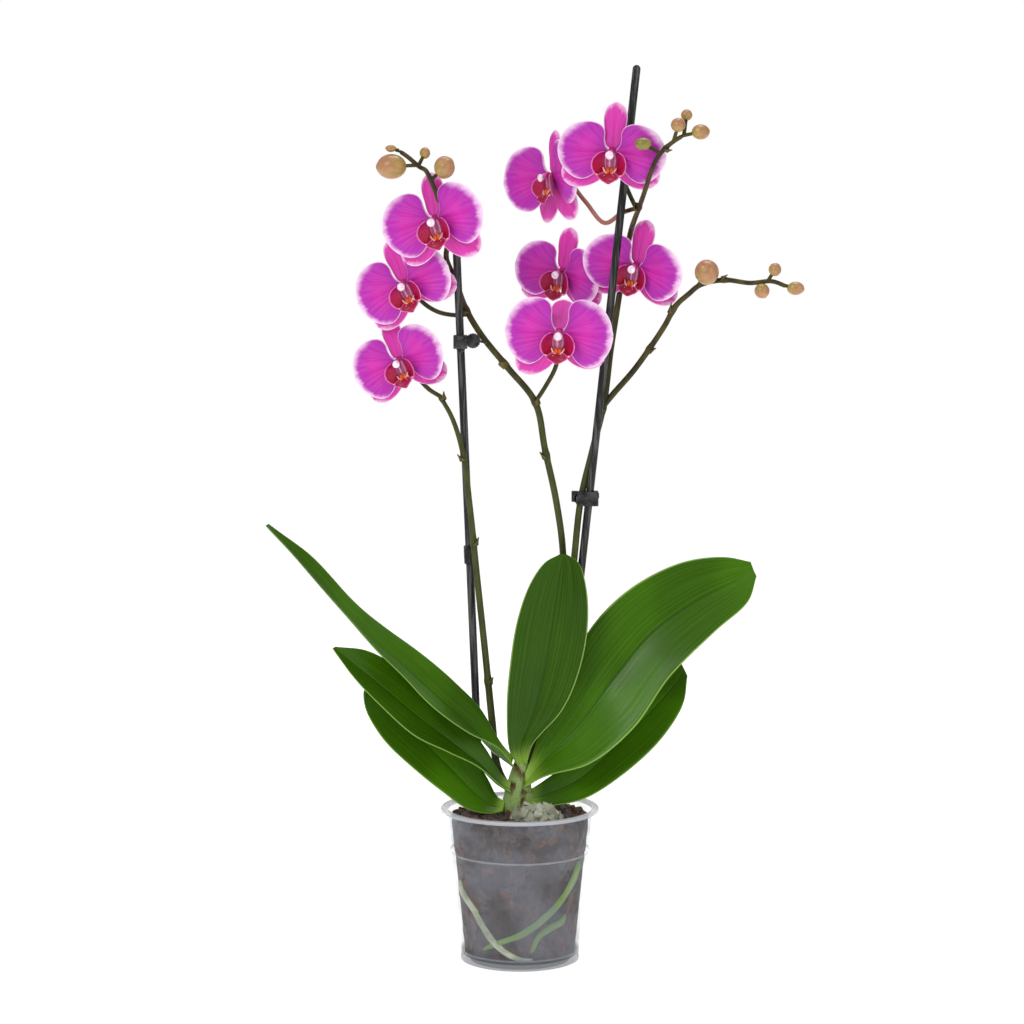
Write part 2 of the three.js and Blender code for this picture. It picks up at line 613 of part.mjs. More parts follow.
function stemWithSides(name, radii, grow) {
  const rootOf = (near) => nearestOn(name, vec(near)).at;
  const thin = [SPIKE.pedicel, SPIKE.pedicel];
  const bodies = [stem(PATHS[name], radii, { steps: stepsOf(name), grow })];
  for (const [bloom, near, ...through] of PEDICELS[name]) {
    const path = [rootOf(near), ...through.map(vec), ...intoBloom(bloom)];
    bodies.push(stem(path, thin, { sides: 5, steps: path.length, grow }));
  }
  for (const [bud, near] of BUD_STALKS[name]) {
    bodies.push(stem(stalk(rootOf(near), BUDS[bud]), SPIKE.stalk, { sides: 4, steps: 1, grow }));
  }
  if (!grow) for (const entry of BRACTS[name]) bodies.push(bract(name, entry, radii[1]));
  return union(bodies);
}

function spikeBody(name, grow = 0) {
  const body = stemWithSides(name, [SPIKE.base, SPIKE.middle, SPIKE.middle - 0.2, SPIKE.tip], grow);
  if (name !== "spike_right") return body;
  return body.add(stemWithSides("branch", [2.4, 2.1, SPIKE.tip], grow));
}

// ---- stakes and clips ----
const STAKES = {
  stake_left: { foot: V(-26.9, 16.4, 32), top: V(-47.4, 0.4, 540) },
  stake_right: { foot: V(19.5, 27, 40), top: V(86.4, -2, 675.2) },
};
const stakeAt = (name, z) => {
  const { foot, top } = STAKES[name];
  return foot.clone().lerp(top, (z - foot.z) / (top.z - foot.z));
};
function stakeBody(name, grow = 0) {
  const { foot, top } = STAKES[name];
  return stem([foot, top], [STAKE.radius, STAKE.radius], { sides: STAKE.sides, steps: 1, grow });
}

function knob(centre, radius, depth) {
  const geometry = new THREE.CylinderGeometry(radius, radius, depth, 10);
  return solid(geometry.translate(centre.x, centre.y, centre.z));
}

// Black clip on the left stake: a jaw round the stake, a point below it and a round knob beside it.
function leftClip() {
  const centre = stakeAt("stake_left", 470);
  const jaw = box(centre, [10.5, 10.5, 10]);
  const point = box(centre.clone().add(V(0.3, 0, -5.5)), [5, 6, 5], rad(45));
  const wheel = knob(centre.clone().add(V(9.4, 0, 0.8)), 5.6, 7);
  const pinPath = [centre.clone().add(V(12, 0, 1)), V(-24.4, 5.2, 469)];
  const pin = stem(pinPath, [0.9, 0.8], { sides: 5, steps: 1 });
  return union([jaw, point, wheel, pin]).subtract(stakeBody("stake_left", GAP))
    .subtract(spikeBody("spike_middle", GAP));
}

// Black clip that holds the right spike to its stake.
function rightClip() {
  const onStake = stakeAt("stake_right", 351);
  const jaw = box(onStake.clone().add(V(1.2, 0, 0)), [11.5, 11, 11]);
  const wheel = knob(V(46, 15, 351), 5.4, 9);
  const tab = box(V(58.4, onStake.y - 1.5, 353.5), [6, 7, 4]);
  const wing = box(V(40.8, 14, 352.5), [6, 7, 8]);
  return union([jaw, wheel, tab, wing]).subtract(stakeBody("stake_right", GAP))
    .subtract(spikeBody("spike_right", GAP));
}

function sleeve() {
  const [low, high] = [stakeAt("stake_left", 301), stakeAt("stake_left", 317)];
  const tube = stem([low, high], [4.3, 4.3], { sides: STAKE.sides, steps: 1 });
  return tube.subtract(stakeBody("stake_left", GAP));
}

// ---- roots ----
// Roots leave the collar under the crown and then follow the wall, each given by the angles and
// heights it passes there.
const ROOT_RADIUS = 3.2;
const ROOTS = [
  [[198, 60], [220, 44], [243, 21], [264, 10.5], [286, 8.5]],
  [[334, 77], [316, 56], [300, 44], [275, 30], [248, 21], [226, 13]],
  [[316, 37], [301, 32], [289, 26], [281, 13]],
  [[20, 70], [54, 46], [88, 20]],
  [[110, 62], [140, 38], [168, 14]],
];

function rootsBody(grow = 0) {
  const bodies = [ball(V(0, 0, 84), [11 + grow, 11 + grow, 7.4 + grow], [0, 0, 0], [8, 4])];
  for (const stations of ROOTS) {
    const [entry, high] = [rad(stations[0][0]), stations[0][1]];
    const path = [V(0, 0, 84), V(Math.cos(entry) * 24, Math.sin(entry) * 24, mix(86, high, 0.35))];
    for (const [turn, z] of stations) {
      const angle = rad(turn);
      const wall = insideAt(Math.max(z, POT.footZ)) * Math.cos(Math.PI / POT.sides);
      const r = wall - GAP - ROOT_RADIUS - 0.5;
      path.push(V(Math.cos(angle) * r, Math.sin(angle) * r, z));
    }
    const radii = [3, ROOT_RADIUS, ROOT_RADIUS, 2.6, 1.6];
    bodies.push(stem(path, radii, { sides: 5, steps: path.length + 2, grow }));
  }
  return union(bodies);
}

// ---- bark and pale chips ----
function chip(random, centre, size, flat = 0.6) {
  const geometry = new THREE.IcosahedronGeometry(size, 0);
  geometry.scale(mix(0.7, 1.15, random()), mix(0.5, 0.9, random()), flat);
  geometry.rotateX(mix(-0.5, 0.5, random())).rotateZ(random() * Math.PI * 2);
  return solid(geometry.translate(centre.x, centre.y, centre.z));
}

// The heap of pale chips: its middle, half its width and depth, and its rows of chips from the
// lowest up, each with its count, the share of the width it fills and its height over the bark.
const CHIP_PATCH = {
  x: 12, y: -23, across: 19, deep: 9, clear: 1.6,
  rows: [{ count: 7, share: 0.78, lift: 2.6 }, { count: 4, share: 0.45, lift: 8.6 }],
};
function inPatch(px, py) {
  const { x, y, across, deep, clear } = CHIP_PATCH;
  return Math.hypot((px - x) / across, (py - y) / deep) < clear;
}

function bark() {
  const random = randomFrom(SEED);
  const top = BARK.top;
  const rim = (z) => insideAt(z) - GAP;
  let body = turned([
    [0, POT.floorThick + GAP], [POT.boss, POT.floorThick + GAP], [POT.boss + 4.2, FLOOR + GAP],
    [rim(POT.footZ) - 1.2, FLOOR + GAP], [rim(POT.footZ), POT.footZ + 0.2],
    [rim(POT.ringZ) - 0.8, POT.ringZ], [rim(top) - 0.9, top - 1.5], [rim(top) - 2, top], [0, top],
  ], POT.sides);
  for (let i = 0; i < BARK.chips; i += 1) {
    const r = 17 + 28.5 * Math.sqrt((i + 0.5) / BARK.chips);
    const angle = i * 2.39996 + random() * 0.5;
    const [x, y] = [Math.cos(angle) * r, Math.sin(angle) * r];
    if (inPatch(x, y)) continue;
    const size = BARK.chipSize * mix(0.62, 1, random()) * (r > 40 ? 0.75 : 1);
    body = body.add(chip(random, V(x, y, top - 0.6 + random() * 1.2), size, BARK.chipFlat));
  }
  body = body.subtract(crownBody(GAP)).subtract(rootsBody(GAP));
  for (const name of Object.keys(STAKES)) body = body.subtract(stakeBody(name, GAP));
  return body;
}

function paleChips() {
  const random = randomFrom(SEED + 8);
  const { x, y, across, deep, rows } = CHIP_PATCH;
  const bodies = [];
  for (const { count, share, lift } of rows) {
    for (let i = 0; i < count; i += 1) {
      const shift = mix(-share, share, i / (count - 1)) * across;
      const centre = V(x + shift, y + deep * 0.3 * Math.sin(i * 2.1), BARK.top + lift + random() * 2);
      bodies.push(chip(random, centre, mix(6, 7.4, random()), 0.85));
    }
  }
  const below = box(V(x, y, BARK.top + GAP - 20), [120, 120, 40]);
  return union(bodies).subtract(below).subtract(crownBody(GAP))
    .subtract(leafBody(LEAVES.leaf_right_lower, GAP));
}

// ---- assembly ----
const leafNames = Object.keys(LEAVES);
const spikeNames = ["spike_left", "spike_middle", "spike_right"];

let crown = crownBody();
for (const name of leafNames) crown = crown.subtract(leafBody(LEAVES[name], GAP));
for (const name of spikeNames) crown = crown.subtract(spikeBody(name, GAP));

addPiece("pot", pot(), COLOURS.pot);
addPiece("bark_mix", bark(), COLOURS.bark);
addPiece("roots", rootsBody(), COLOURS.root);
addPiece("crown", crown, COLOURS.crown);
addPiece("pale_chips", paleChips(), COLOURS.chips);
for (const name of leafNames) addPiece(name, leafBody(LEAVES[name]), COLOURS.leaf);
for (const name of spikeNames) addPiece(name, spikeBody(name), COLOURS.spike);
for (const name of Object.keys(STAKES)) addPiece(name, stakeBody(name), COLOURS.stake);
addPiece("clip_left", leftClip(), COLOURS.clip);
addPiece("clip_right", rightClip(), COLOURS.clip);
addPiece("sleeve_left", sleeve(), COLOURS.clip);
for (const [name, bloom] of Object.entries(BLOOMS)) {
  const place = bloomPlace(bloom).toArray();
  addPiece(`bloom_${name}`, tepals(bloom).transform(place), COLOURS.tepal);
  addPiece(`lip_${name}`, lip().transform(place), COLOURS.lip);
}
for (const [name, bud] of Object.entries(BUDS)) addPiece(`bud_${name}`, budBody(bud), COLOURS.bud);

export default orchid;
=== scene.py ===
"""A potted moth orchid in a clear growers' pot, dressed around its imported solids.

Places in the tables are millimetres in the frame of the solids: +Z up, -Y the front, the origin
in the middle under the pot. Meshes are made in metres.
"""

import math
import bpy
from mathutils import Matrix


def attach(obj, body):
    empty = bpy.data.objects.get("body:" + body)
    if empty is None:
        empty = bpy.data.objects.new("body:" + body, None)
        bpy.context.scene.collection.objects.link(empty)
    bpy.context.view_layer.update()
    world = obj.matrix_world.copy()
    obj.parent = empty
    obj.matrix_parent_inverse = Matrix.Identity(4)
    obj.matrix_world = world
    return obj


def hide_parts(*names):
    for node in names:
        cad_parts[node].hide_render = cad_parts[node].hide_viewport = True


bl_info = {
    "name": "Potted Moth Orchid",
    "version": (1, 0, 0),
    "blender": (4, 5, 0),
    "location": "View3D > Sidebar > Orchid",
    "description": "Dresses the solids of a potted moth orchid with detailed pieces and materials",
    "category": "Add Mesh",
}

import bpy
import numpy as np
from mathutils import Matrix, Vector, noise

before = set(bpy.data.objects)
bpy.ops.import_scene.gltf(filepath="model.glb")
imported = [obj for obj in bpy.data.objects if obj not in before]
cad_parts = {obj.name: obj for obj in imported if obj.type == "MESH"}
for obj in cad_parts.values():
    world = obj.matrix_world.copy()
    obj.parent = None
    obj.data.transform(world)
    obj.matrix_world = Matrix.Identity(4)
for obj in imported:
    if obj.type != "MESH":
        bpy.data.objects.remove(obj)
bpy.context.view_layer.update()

MM = 0.001
BODY = "root"

# ---- sizes shared with the solids, in millimetres ----
POT = {
    "height": 117, "rim": 60, "rim_inner": 54.8, "rim_drop": 2.7, "lip": 56.2, "ring_z": 84,
    "ring_out": 53.6, "ring_step": 0.7, "foot": 45, "foot_z": 8, "wall": 1.3, "floor_z": 3,
    "floor_thick": 1.6, "boss": 14, "foot_ring": 38, "holes": 6, "hole_at": 27, "hole_radius": 4,
}
BARK_TOP = 109
BARK_INSET = 2.6
CHIP_PATCH = {"at": (12, -23), "across": 19, "deep": 9, "high": 13}
CROWN_PATH = [(0, 0, 92), (0, 0, 110), (-1, 0, 128), (0, 1, 144), (2, 2, 157)]
CROWN_RADII = [13, 12.5, 10.5, 8, 4]
# Leaf sheaths round the crown: the degrees towards which each stands highest and the share of the
# crown's height at which it ends.
SHEATHS = [(180, 0.42), (0, 0.5), (200, 0.62), (10, 0.74), (170, 0.86)]

# Each station has the places of a leaf's lower (or left) and upper (or right) margin and how
# deep the channel between them lies.
LEAVES = {
    "leaf_left_upper": [
        ((-4, -9, 148), (-5, 1, 155), 2), ((-15, -15, 164), (-14, 3, 165), 6),
        ((-38, -26, 178), (-31, 5, 194), 7), ((-64, -36, 200), (-50, 6, 212), 6),
        ((-85, -38, 221), (-77, 4, 235), 5), ((-104, -37, 239), (-103, 2, 256), 5),
        ((-132, -32, 272), (-126, -2, 276), 5), ((-162, -25, 305), (-158, -6, 310), 3),
        ((-190, -17, 334), (-188, -14, 335), 0.5),
    ],
    "leaf_left_middle": [
        ((-7, -11, 130), (-5, -4, 135), 2), ((-16, -15, 137), (-13, -4, 142), 4),
        ((-32, -22, 153), (-23, -5, 158), 6), ((-54, -32, 165), (-39, -6, 179), 7),
        ((-78, -40, 178), (-62, -8, 204), 8), ((-104, -42, 203), (-90, -11, 225), 7),
        ((-127, -36, 226), (-117, -18, 240), 5), ((-140, -28, 243), (-138, -26, 244), 0.5),
    ],
    "leaf_left_lower": [
        ((-13, -13, 116), (-11, -5, 122), 1.5), ((-23, -16, 115), (-17, -1, 125), 2),
        ((-40, -16, 119), (-24, 1, 137), 3), ((-60, -14, 132), (-36, 3, 156), 4),
        ((-83, -12, 151), (-61, 10, 183), 4), ((-104, -9, 172), (-85, 14, 203), 3),
        ((-117, -8, 194), (-106, 8, 210), 2), ((-118, -6, 206), (-115, -3, 210), 0.5),
    ],
    "leaf_back_upright": [
        ((-2, -3, 149), (5, -4, 150), 2), ((-8, -7, 162), (10, -9, 167), 4),
        ((-10, -8, 193), (32, -9, 193), 6), ((-8, -7, 223), (44, -8, 220), 6),
        ((-2, -5, 261), (51, -6, 255), 5), ((8, -3, 289), (50, -4, 285), 4),
        ((19, 0, 304), (44, 0, 304), 2), ((30, 2, 310), (35, 2, 310), 0.5),
    ],
    "leaf_right_upper": [
        ((3, -12, 134), (3, -5, 141), 2), ((19, -14, 143), (12, 2, 164), 5),
        ((53, -15, 153), (27, 10, 202), 8), ((85, -13, 179), (55, 14, 254), 9),
        ((113, -6, 218), (84, 22, 281), 8), ((147, 4, 250), (123, 30, 300), 6),
        ((173, 15, 272), (154, 34, 304), 4), ((180, 25, 290), (176, 33, 300), 1),
    ],
    "leaf_right_lower": [
        ((5, -10, 120), (5, -2, 129), 2), ((19, -9, 119), (18, 4, 136), 3),
        ((47, -4, 123), (40, 13, 152), 5), ((78, 3, 141), (65, 24, 181), 6),
        ((107, 11, 166), (90, 31, 206), 5), ((124, 18, 192), (110, 34, 220), 3),
        ((128, 26, 213), (123, 33, 223), 1),
    ],
}

# Leaves painted darker than the rest with painted shade, where they face away from the light, and by
# how much.
LEAF_SHADE = {"leaf_back_upright": 0.7, "leaf_left_middle": 0.35, "leaf_left_upper": 0.1}

# Each bloom: where its petals meet, degrees turned to the left, faced down and rolled to the
# left, the degrees its left and right petals are swept forward, how far its left and right side
# sepals point down, how far its upper sepal leans back, the height of its petals and its size
# against a common bloom of 78 mm.
BLOOMS = {
    "left_top": {
        "at": (-62, -27, 561.7), "turns": (18, 6, 15), "sweep": (17, 21), "down": (36, 52),
        "lean": 22, "rise": 0.92, "size": 1,
    },
    "left_middle": {
        "at": (-85.5, 3, 513), "turns": (16, 6, 24), "sweep": (12, 20), "down": (31, 25),
        "lean": 9, "rise": 0.94, "size": 0.98,
    },
    "left_low": {
        "at": (-90, 15, 454.5), "turns": (16, 6, 22), "sweep": (14, 18), "down": (31, 37),
        "lean": 12, "rise": 0.96, "size": 0.92,
    },
    "right_top": {
        "at": (68.2, -8, 610.6), "turns": (12, 6, -4), "sweep": (8, 16), "down": (31, 31),
        "lean": 9, "rise": 0.83, "size": 1.02,
    },
    "right_back": {
        "at": (24.8, 46, 592.5), "turns": (56, 4, 9), "sweep": (34, 14), "down": (50, 66),
        "lean": 9, "rise": 1, "size": 0.96,
    },
    "middle_back": {
        "at": (32, 58, 519), "turns": (28, 5, -9), "sweep": (14, 26), "down": (31, 31),
        "lean": 9, "rise": 0.88, "size": 0.95,
    },
    "right_middle": {
        "at": (87.2, 20, 525), "turns": (20, 5, -12), "sweep": (20, 24), "down": (31, 31),
        "lean": 7, "rise": 0.84, "size": 0.98,
    },
    "middle_low": {
        "at": (29.2, -9, 477), "turns": (6, 6, -3), "sweep": (8, 16), "down": (46, 33),
        "lean": 58, "rise": 1, "size": 1,
    },
}
# Margins of the petal on a bloom's right, from its foot to its tip, in the bloom's own frame.
PETAL_UPPER = [
    (2.6, 2.2), (5.2, 6.5), (6.3, 12), (6.2, 18), (8.6, 23.2), (14.5, 26.4), (23, 26), (31.5, 21.6),
    (38, 12.5), (40.6, 2.6),
]
PETAL_LOWER = [
    (2.6, -2.4), (4.8, -6.5), (7.6, -11.5), (11, -17), (15.5, -21.6), (21.5, -24.2), (28, -22.6),
    (34.4, -17), (39, -8.6), (40.7, -0.6),
]
# Half the length of the left and right side sepals and half their width.
SIDE_SEPAL = {"reach": (20, 18.4), "rise": 13.5}
# Half the width of the upper sepal at heights above the bloom's middle.
UPPER_SEPAL = [
    (1.8, 2.5), (5.2, 5), (6.6, 9), (7.4, 15), (8.6, 22), (8.5, 28), (6.2, 33.4), (2.4, 36),
    (0.6, 36.6),
]
# Where sepals start, out from the bloom's middle.
SEPAL_FOOT = 2.5
# How tepals are formed: their length from the bloom's middle, how far their foot lies before it, how
# far their tip curls back, how high their rim ripples, their finish and their rows and columns.
PETAL_FORM = {"reach": 40.6, "depth": 0.4, "curl": 4.5, "ripple": 0.6, "finish": 0, "grid": (44, 44)}
SIDE_FORM = {"depth": -1.9, "curl": 3, "ripple": 0.4, "finish": 1, "grid": (32, 32)}
UPPER_FORM = {"reach": 36.6, "depth": -1.9, "curl": 1, "ripple": 0.3, "finish": 1, "grid": (32, 28)}
BASE_RADII = [2.2, 3.1, 3.9, 4.4, 3.2]

# Parts of the lip and column, in the bloom's frame.
FRONT_LOBE_WIDTHS = [2.2, 6.4, 8.2, 7.4, 4.4, 1.2]
CREST_RIDGES = [
    [(5, -9.8, 7.2), (3.8, -12, 8.6), (1.9, -14.2, 9.2)],
    [(9.6, -14.6, 11.2), (6, -15.6, 10.8), (2.4, -15.3, 10)],
]
CREST_RIDGE_RADII = [0.45, 0.7, 0.5]
COLUMN_PATH = [(0, 1.2, 2.6), (0, 0.8, 7), (0, -0.6, 11.2)]
COLUMN_RADII = [2.8, 2.3, 2.4, 2.2]

BUDS = {
    "left_tip_large": {"at": (-94.6, -24, 600.8), "size": (11, 9.2, 9.2)},
    "left_tip_small": {"at": (-70.1, -20, 610.6), "size": (3.9, 3.9, 4.3)},
    "left_tip_round": {"at": (-55.6, -29, 600.2), "size": (7.6, 7.6, 8.4)},
    "left_tip_end": {"at": (-95, -24, 614), "size": (4, 2.6, 2.6)},
    "right_tip_low": {"at": (115.6, -33, 631.2), "size": (5.4, 5.2, 5.2)},
    "right_tip_high": {"at": (122.2, -24, 638.4), "size": (4.2, 4.2, 4.2)},
    "right_tip_end": {"at": (132.2, -30, 626.1), "size": (6.6, 5.6, 5.6)},
    "right_tip_green": {"at": (90.2, -27, 617.4), "size": (6.2, 4.6, 4.6)},
    "branch_large": {"at": (138.8, -6, 522.4), "size": (9, 9, 9.4)},
    "branch_high": {"at": (189.3, -8, 524.4), "size": (4.7, 4.7, 4.9)},
    "branch_low": {"at": (179.8, -8, 508.6), "size": (5.6, 5.4, 5.6)},
    "branch_end": {"at": (204.6, -10, 510.6), "size": (6.4, 5, 5)},
}

# The part of the middle spike's path that passes the upper left bloom is in that bloom's frame.
PATHS = {
    "spike_left": [
        (-8, 4, 128), (-17, 11, 145), (-21.2, 13, 181), (-26.5, 7, 236), (-32.4, -1, 294),
        (-37.5, -5, 346), (-42.6, -5, 386.5), (-50.7, -2, 413), (-61, 3, 431),
    ],
    "spike_middle": [
        (0, 8, 132), (7.7, 14, 151), (21.5, 24, 195), (32, 27, 256), (32.7, 24, 308), (27.3, 18, 349),
        (18.9, 12, 388), (11.3, 8, 424.4), (-9, 9, 450), (-28.5, 10, 474), (-40.5, 11, 494),
        (-46.5, 9.5, 510), (-52, 5, 524), (-55, -3, 534),
    ],
    "past_bloom": [
        (4.5, -11, -12), (10.8, 1.5, -7.2), (10.6, 6, -4), (8.2, 9.8, -0.8), (6, 14, -1.2),
        (5.4, 20, -2), (4.6, 28, -1.2), (3.4, 37, 0.5),
    ],
    "middle_end": [(-74, -25, 600.6), (-82, -24, 607.4), (-89, -24, 612.4)],
    "spike_right": [
        (8, 5, 136), (16, 8, 154), (27.7, 16.5, 194), (33, 17.5, 226), (36.6, 15.5, 257), (41, 14, 304),
        (46, 15, 350), (55, 18, 388), (63.2, 17, 422), (68.4, 20, 463), (72.6, 30, 488),
        (75.4, 34.5, 505), (78, 36, 522), (81.6, 34, 542), (83.6, 30, 552), (85.6, 19, 560),
        (88.2, -1, 569.5), (92, -20, 583), (96.6, -25, 598), (101.5, -27.5, 608.5), (110, -29, 617.3),
        (120, -30, 624),
    ],
    "branch": [
        (63, 17, 421), (70.4, 16.5, 430), (85.4, 15, 447.5), (99.2, 13, 467), (108.8, 12, 482),
        (116.6, 10, 496.4), (126, 6, 505.5), (134.5, 2, 512.5), (152, -2, 516.4), (171, -6, 514.4),
        (187.2, -8, 515.7), (198, -10, 512),
    ],
}
SPIKE_RADII = [3.1, 2.6, 2.4, 1.6]
BRANCH_RADII = [2.4, 2.1, 1.6]
PEDICEL_RADIUS = 1.7
STALK_RADII = [1.5, 1.3]
# Tones of the stems: 0 is green, 0.8 brown and 1 pink.
COMMON_PEDICEL, PINK_PEDICEL, BUD_STALK = 0.45, 0.98, 0.55

# Pedicels of the blooms: the place near the stem where each starts and the places it runs through.
PEDICELS = {
    "spike_left": [("left_low", (-60, 2.6, 429.5), (-69, 14, 434), (-79, 25, 444))],
    "spike_middle": [
        ("middle_low", (11.3, 8, 424), (19.5, 6.5, 437), (27, 5, 452)),
        ("left_middle", (-38.4, 10, 490.4), (-49, 13, 489.4), (-62, 14, 492), (-74, 14, 500)),
        ("left_top", (-55, -12, 549)),
    ],
    "spike_right": [
        ("right_back", (88, -3, 569), (76.1, 11, 565.8), (64, 20, 558), (49, 40, 574)),
        ("right_top", (87, 2, 566), (82, 10, 579), (75.6, 8, 594)),
        ("right_middle", (78, 36, 521), (83, 36, 522)),
        ("middle_back", (70, 20, 476), (62, 42, 480), (48, 66, 498)),
    ],
}
# The stem each bud's stalk leaves and the place near it. The last bud sits on the branch's end.
BUD_STALKS = {
    "left_tip_large": ("spike_middle", (-76, -25, 602)),
    "left_tip_small": ("spike_middle", (-74.6, -25, 602)),
    "left_tip_round": ("spike_middle", (-64, -26, 592)),
    "left_tip_end": ("spike_middle", (-89, -24, 612)),
    "right_tip_low": ("spike_right", (112, -29, 619)),
    "right_tip_high": ("spike_right", (120, -30, 624)),
    "right_tip_end": ("spike_right", (119.4, -30, 623.8)),
    "right_tip_green": ("spike_right", (103, -26, 611)),
    "branch_large": ("branch", (132, 2, 511)),
    "branch_high": ("branch", (184, -8, 515.6)),
    "branch_low": ("branch", (177, -7, 514.6)),
    "branch_end": ("branch", (195, -9.5, 513)),
}
# Bracts at the nodes: a place near the stem, the side the bract leans to and its length.
BRACTS = {
    "spike_left": [
        ((-24, 10, 212), (1, -0.5, 0), 7), ((-35, -3, 320), (1, 0, 0), 7),
        ((-42, -5, 384), (-1, 0, 0), 7), ((-59, 2, 428), (1, 0, 0.4), 7),
    ],
    "spike_middle": [
        ((32, 25, 300), (1, 0, 0), 7), ((19, 12, 384), (-1, 0, 0), 7),
        ((11, 8, 424), (0.8, -0.4, 0), 7), ((-12, 9, 453), (-0.5, -0.5, 0), 7),
        ((-40, 10, 493), (-0.6, 0, -0.2), 7),
    ],
    "spike_right": [
        ((40, 10, 284), (-1, 0, 0), 7), ((63, 4, 419), (-1, -0.4, 0.3), 7),
        ((89, -2, 571), (-1, 0, 0.3), 6), ((107, -27, 614), (0.6, 0, -0.6), 5),
    ],
    "branch": [
        ((98.5, 10, 463), (1, 0, -0.4), 7), ((114, 6, 493), (-0.5, 0, 0.9), 9),
        ((152, -2, 516), (-0.2, 0, 1), 6),
    ],
}

STAKES = {
    "stake_left": ((-26.9, 16.4, 32), (-47.4, 0.4, 540)),
    "stake_right": ((19.5, 27, 40), (86.4, -2, 675.2)),
}
STAKE_RADIUS = 3
WHEEL_RIBS = 18
# The back half of a clip's wheel, from its rim in to its hub: shares of its radius and its depth.
WHEEL_SECTION = [(1, 0.44), (0.93, 0.5), (0.7, 0.5), (0.62, 0.42), (0.3, 0.42)]
# The angles and heights at which each root passes along the wall, and how green it is.
ROOTS = [
    ([(198, 60), (220, 44), (243, 21), (264, 10.5), (286, 8.5)], 0),
    ([(334, 77), (316, 56), (300, 44), (275, 30), (248, 21), (226, 13)], 0.9),
    ([(316, 37), (301, 32), (289, 26), (281, 13)], 1),
    ([(20, 70), (54, 46), (88, 20)], 0.3),
    ([(110, 62), (140, 38), (168, 14)], 0.6),
]
ROOT_RADIUS = 3.2
ROOT_RADII = [3, ROOT_RADIUS, ROOT_RADIUS, 3, 1.9]
# The shares that the last three radii of a root keep.
ROOT_TIP = (0.92, 0.7, 0.3)
ROOT_COLLAR = {"at": (0, 0, 84), "size": (11, 11, 7.4)}
# Room left between the wall and the roots, and between the wall and the bark chips.
ROOT_GAP, CHIP_GAP = 0.3, 2.4

# Edges that turn by more degrees than this are shaded sharp.
SHARP_ANGLE = 50
# A direction that no stem and no bud runs along, to start the turns round them.
ASKEW = (0.3, 1, 0.2)


# ---- sums on points ----
def mix(a, b, t):
    return a + (b - a) * t


def ease(value, low, high):
    """0 below low and 1 above high, with a smooth rise between."""
    t = np.clip((np.asarray(value, float) - low) / (high - low), 0, 1)
    return t * t * (3 - 2 * t)


def along(values, t):
    """Value at t of a list whose entries lie at even steps from 0 to 1."""
    return np.interp(t, np.linspace(0, 1, len(values)), values)


def unit(vectors):
    return vectors / np.maximum(np.linalg.norm(vectors, axis=-1, keepdims=True), 1e-12)


def srgb(red, green, blue):
    """A colour of 0 to 255 a channel, as the linear one that materials take."""
    channels = np.array([red, green, blue]) / 255
    linear = np.where(channels <= 0.04045, channels / 12.92, ((channels + 0.055) / 1.055) ** 2.4)
    return (*[float(c) for c in linear], 1.0)


def curve(points, t):
    """Places at t from 0 to 1 on the smooth curve through the points."""
    given = np.asarray(points, float)
    padded = np.vstack([2 * given[0] - given[1], given, 2 * given[-1] - given[-2]])
    at = np.clip(np.asarray(t, float), 0, 1) * (len(given) - 1)
    i = np.minimum(at.astype(int), len(given) - 2)
    w = (at - i)[..., None]
    p0, p1, p2, p3 = (padded[i + k] for k in range(4))
    pairs = (p0, p1), (p1, p2), (p2, p3)
    d0, d1, d2 = (np.sqrt(np.linalg.norm(b - a, axis=-1, keepdims=True)) for a, b in pairs)
    start = ((p1 - p0) / d0 - (p2 - p0) / (d0 + d1) + (p2 - p1) / d1) * d1
    end = ((p2 - p1) / d1 - (p3 - p1) / (d1 + d2) + (p3 - p2) / d2) * d1
    square, cube = 3 * (p2 - p1) - 2 * start - end, 2 * (p1 - p2) + start + end
    return p1 + w * start + w**2 * square + w**3 * cube


def even_curve(points, t):
    """As curve, with t as the share of the curve's length."""
    fine = np.linspace(0, 1, 40 * len(points))
    steps = np.linalg.norm(np.diff(curve(points, fine), axis=0), axis=1)
    length = np.concatenate([[0], np.cumsum(steps)])
    return curve(points, np.interp(t, length / length[-1], fine))


def rough(points, size, seed=0.0):
    """Smooth noise of -1 to 1 at each point, with bumps of the given size."""
    shift = Vector((seed * 3.7, seed * 1.9, seed * 5.3))
    return np.array([noise.noise(Vector(p) / size + shift) for p in np.reshape(points, (-1, 3))])


# ---- shapes ----
class Shape:
    """A closed surface: points in millimetres, faces, their finish's index and values at the points."""

    def __init__(self, points, faces, finish=0, **values):
        self.points = np.asarray(points, float).reshape(-1, 3)
        self.faces = faces
        self.finishes = [finish] * len(faces)
        self.values = {name: np.asarray(value, float) for name, value in values.items()}
        if self.volume() < 0:
            self.faces = [face[::-1] for face in faces]

    def volume(self):
        fans = [(face[0], face[k], face[k + 1]) for face in self.faces for k in range(1, len(face) - 1)]
        a, b, c = (self.points[list(corner)] for corner in zip(*fans))
        return float(np.einsum("ij,ij->i", a, np.cross(b, c)).sum())

    def placed(self, matrix):
        rows = np.array(matrix)
        self.points = self.points @ rows[:3, :3].T + rows[:3, 3]
        return self


def joined(shapes):
    """Several shapes as one; a value that a shape lacks is 0 there."""
    whole = Shape(shapes[0].points, shapes[0].faces)
    whole.points = np.vstack([shape.points for shape in shapes])
    whole.faces, whole.finishes, start = [], [], 0
    for shape in shapes:
        whole.faces += [tuple(i + start for i in face) for face in shape.faces]
        whole.finishes += shape.finishes
        start += len(shape.points)
    for name in sorted({name for shape in shapes for name in shape.values}):
        width = next(shape.values[name].shape[1:] for shape in shapes if name in shape.values)
        blank = [np.zeros((len(shape.points), *width)) for shape in shapes]
        whole.values[name] = np.concatenate(
            [shape.values.get(name, empty) for shape, empty in zip(shapes, blank)])
    return whole


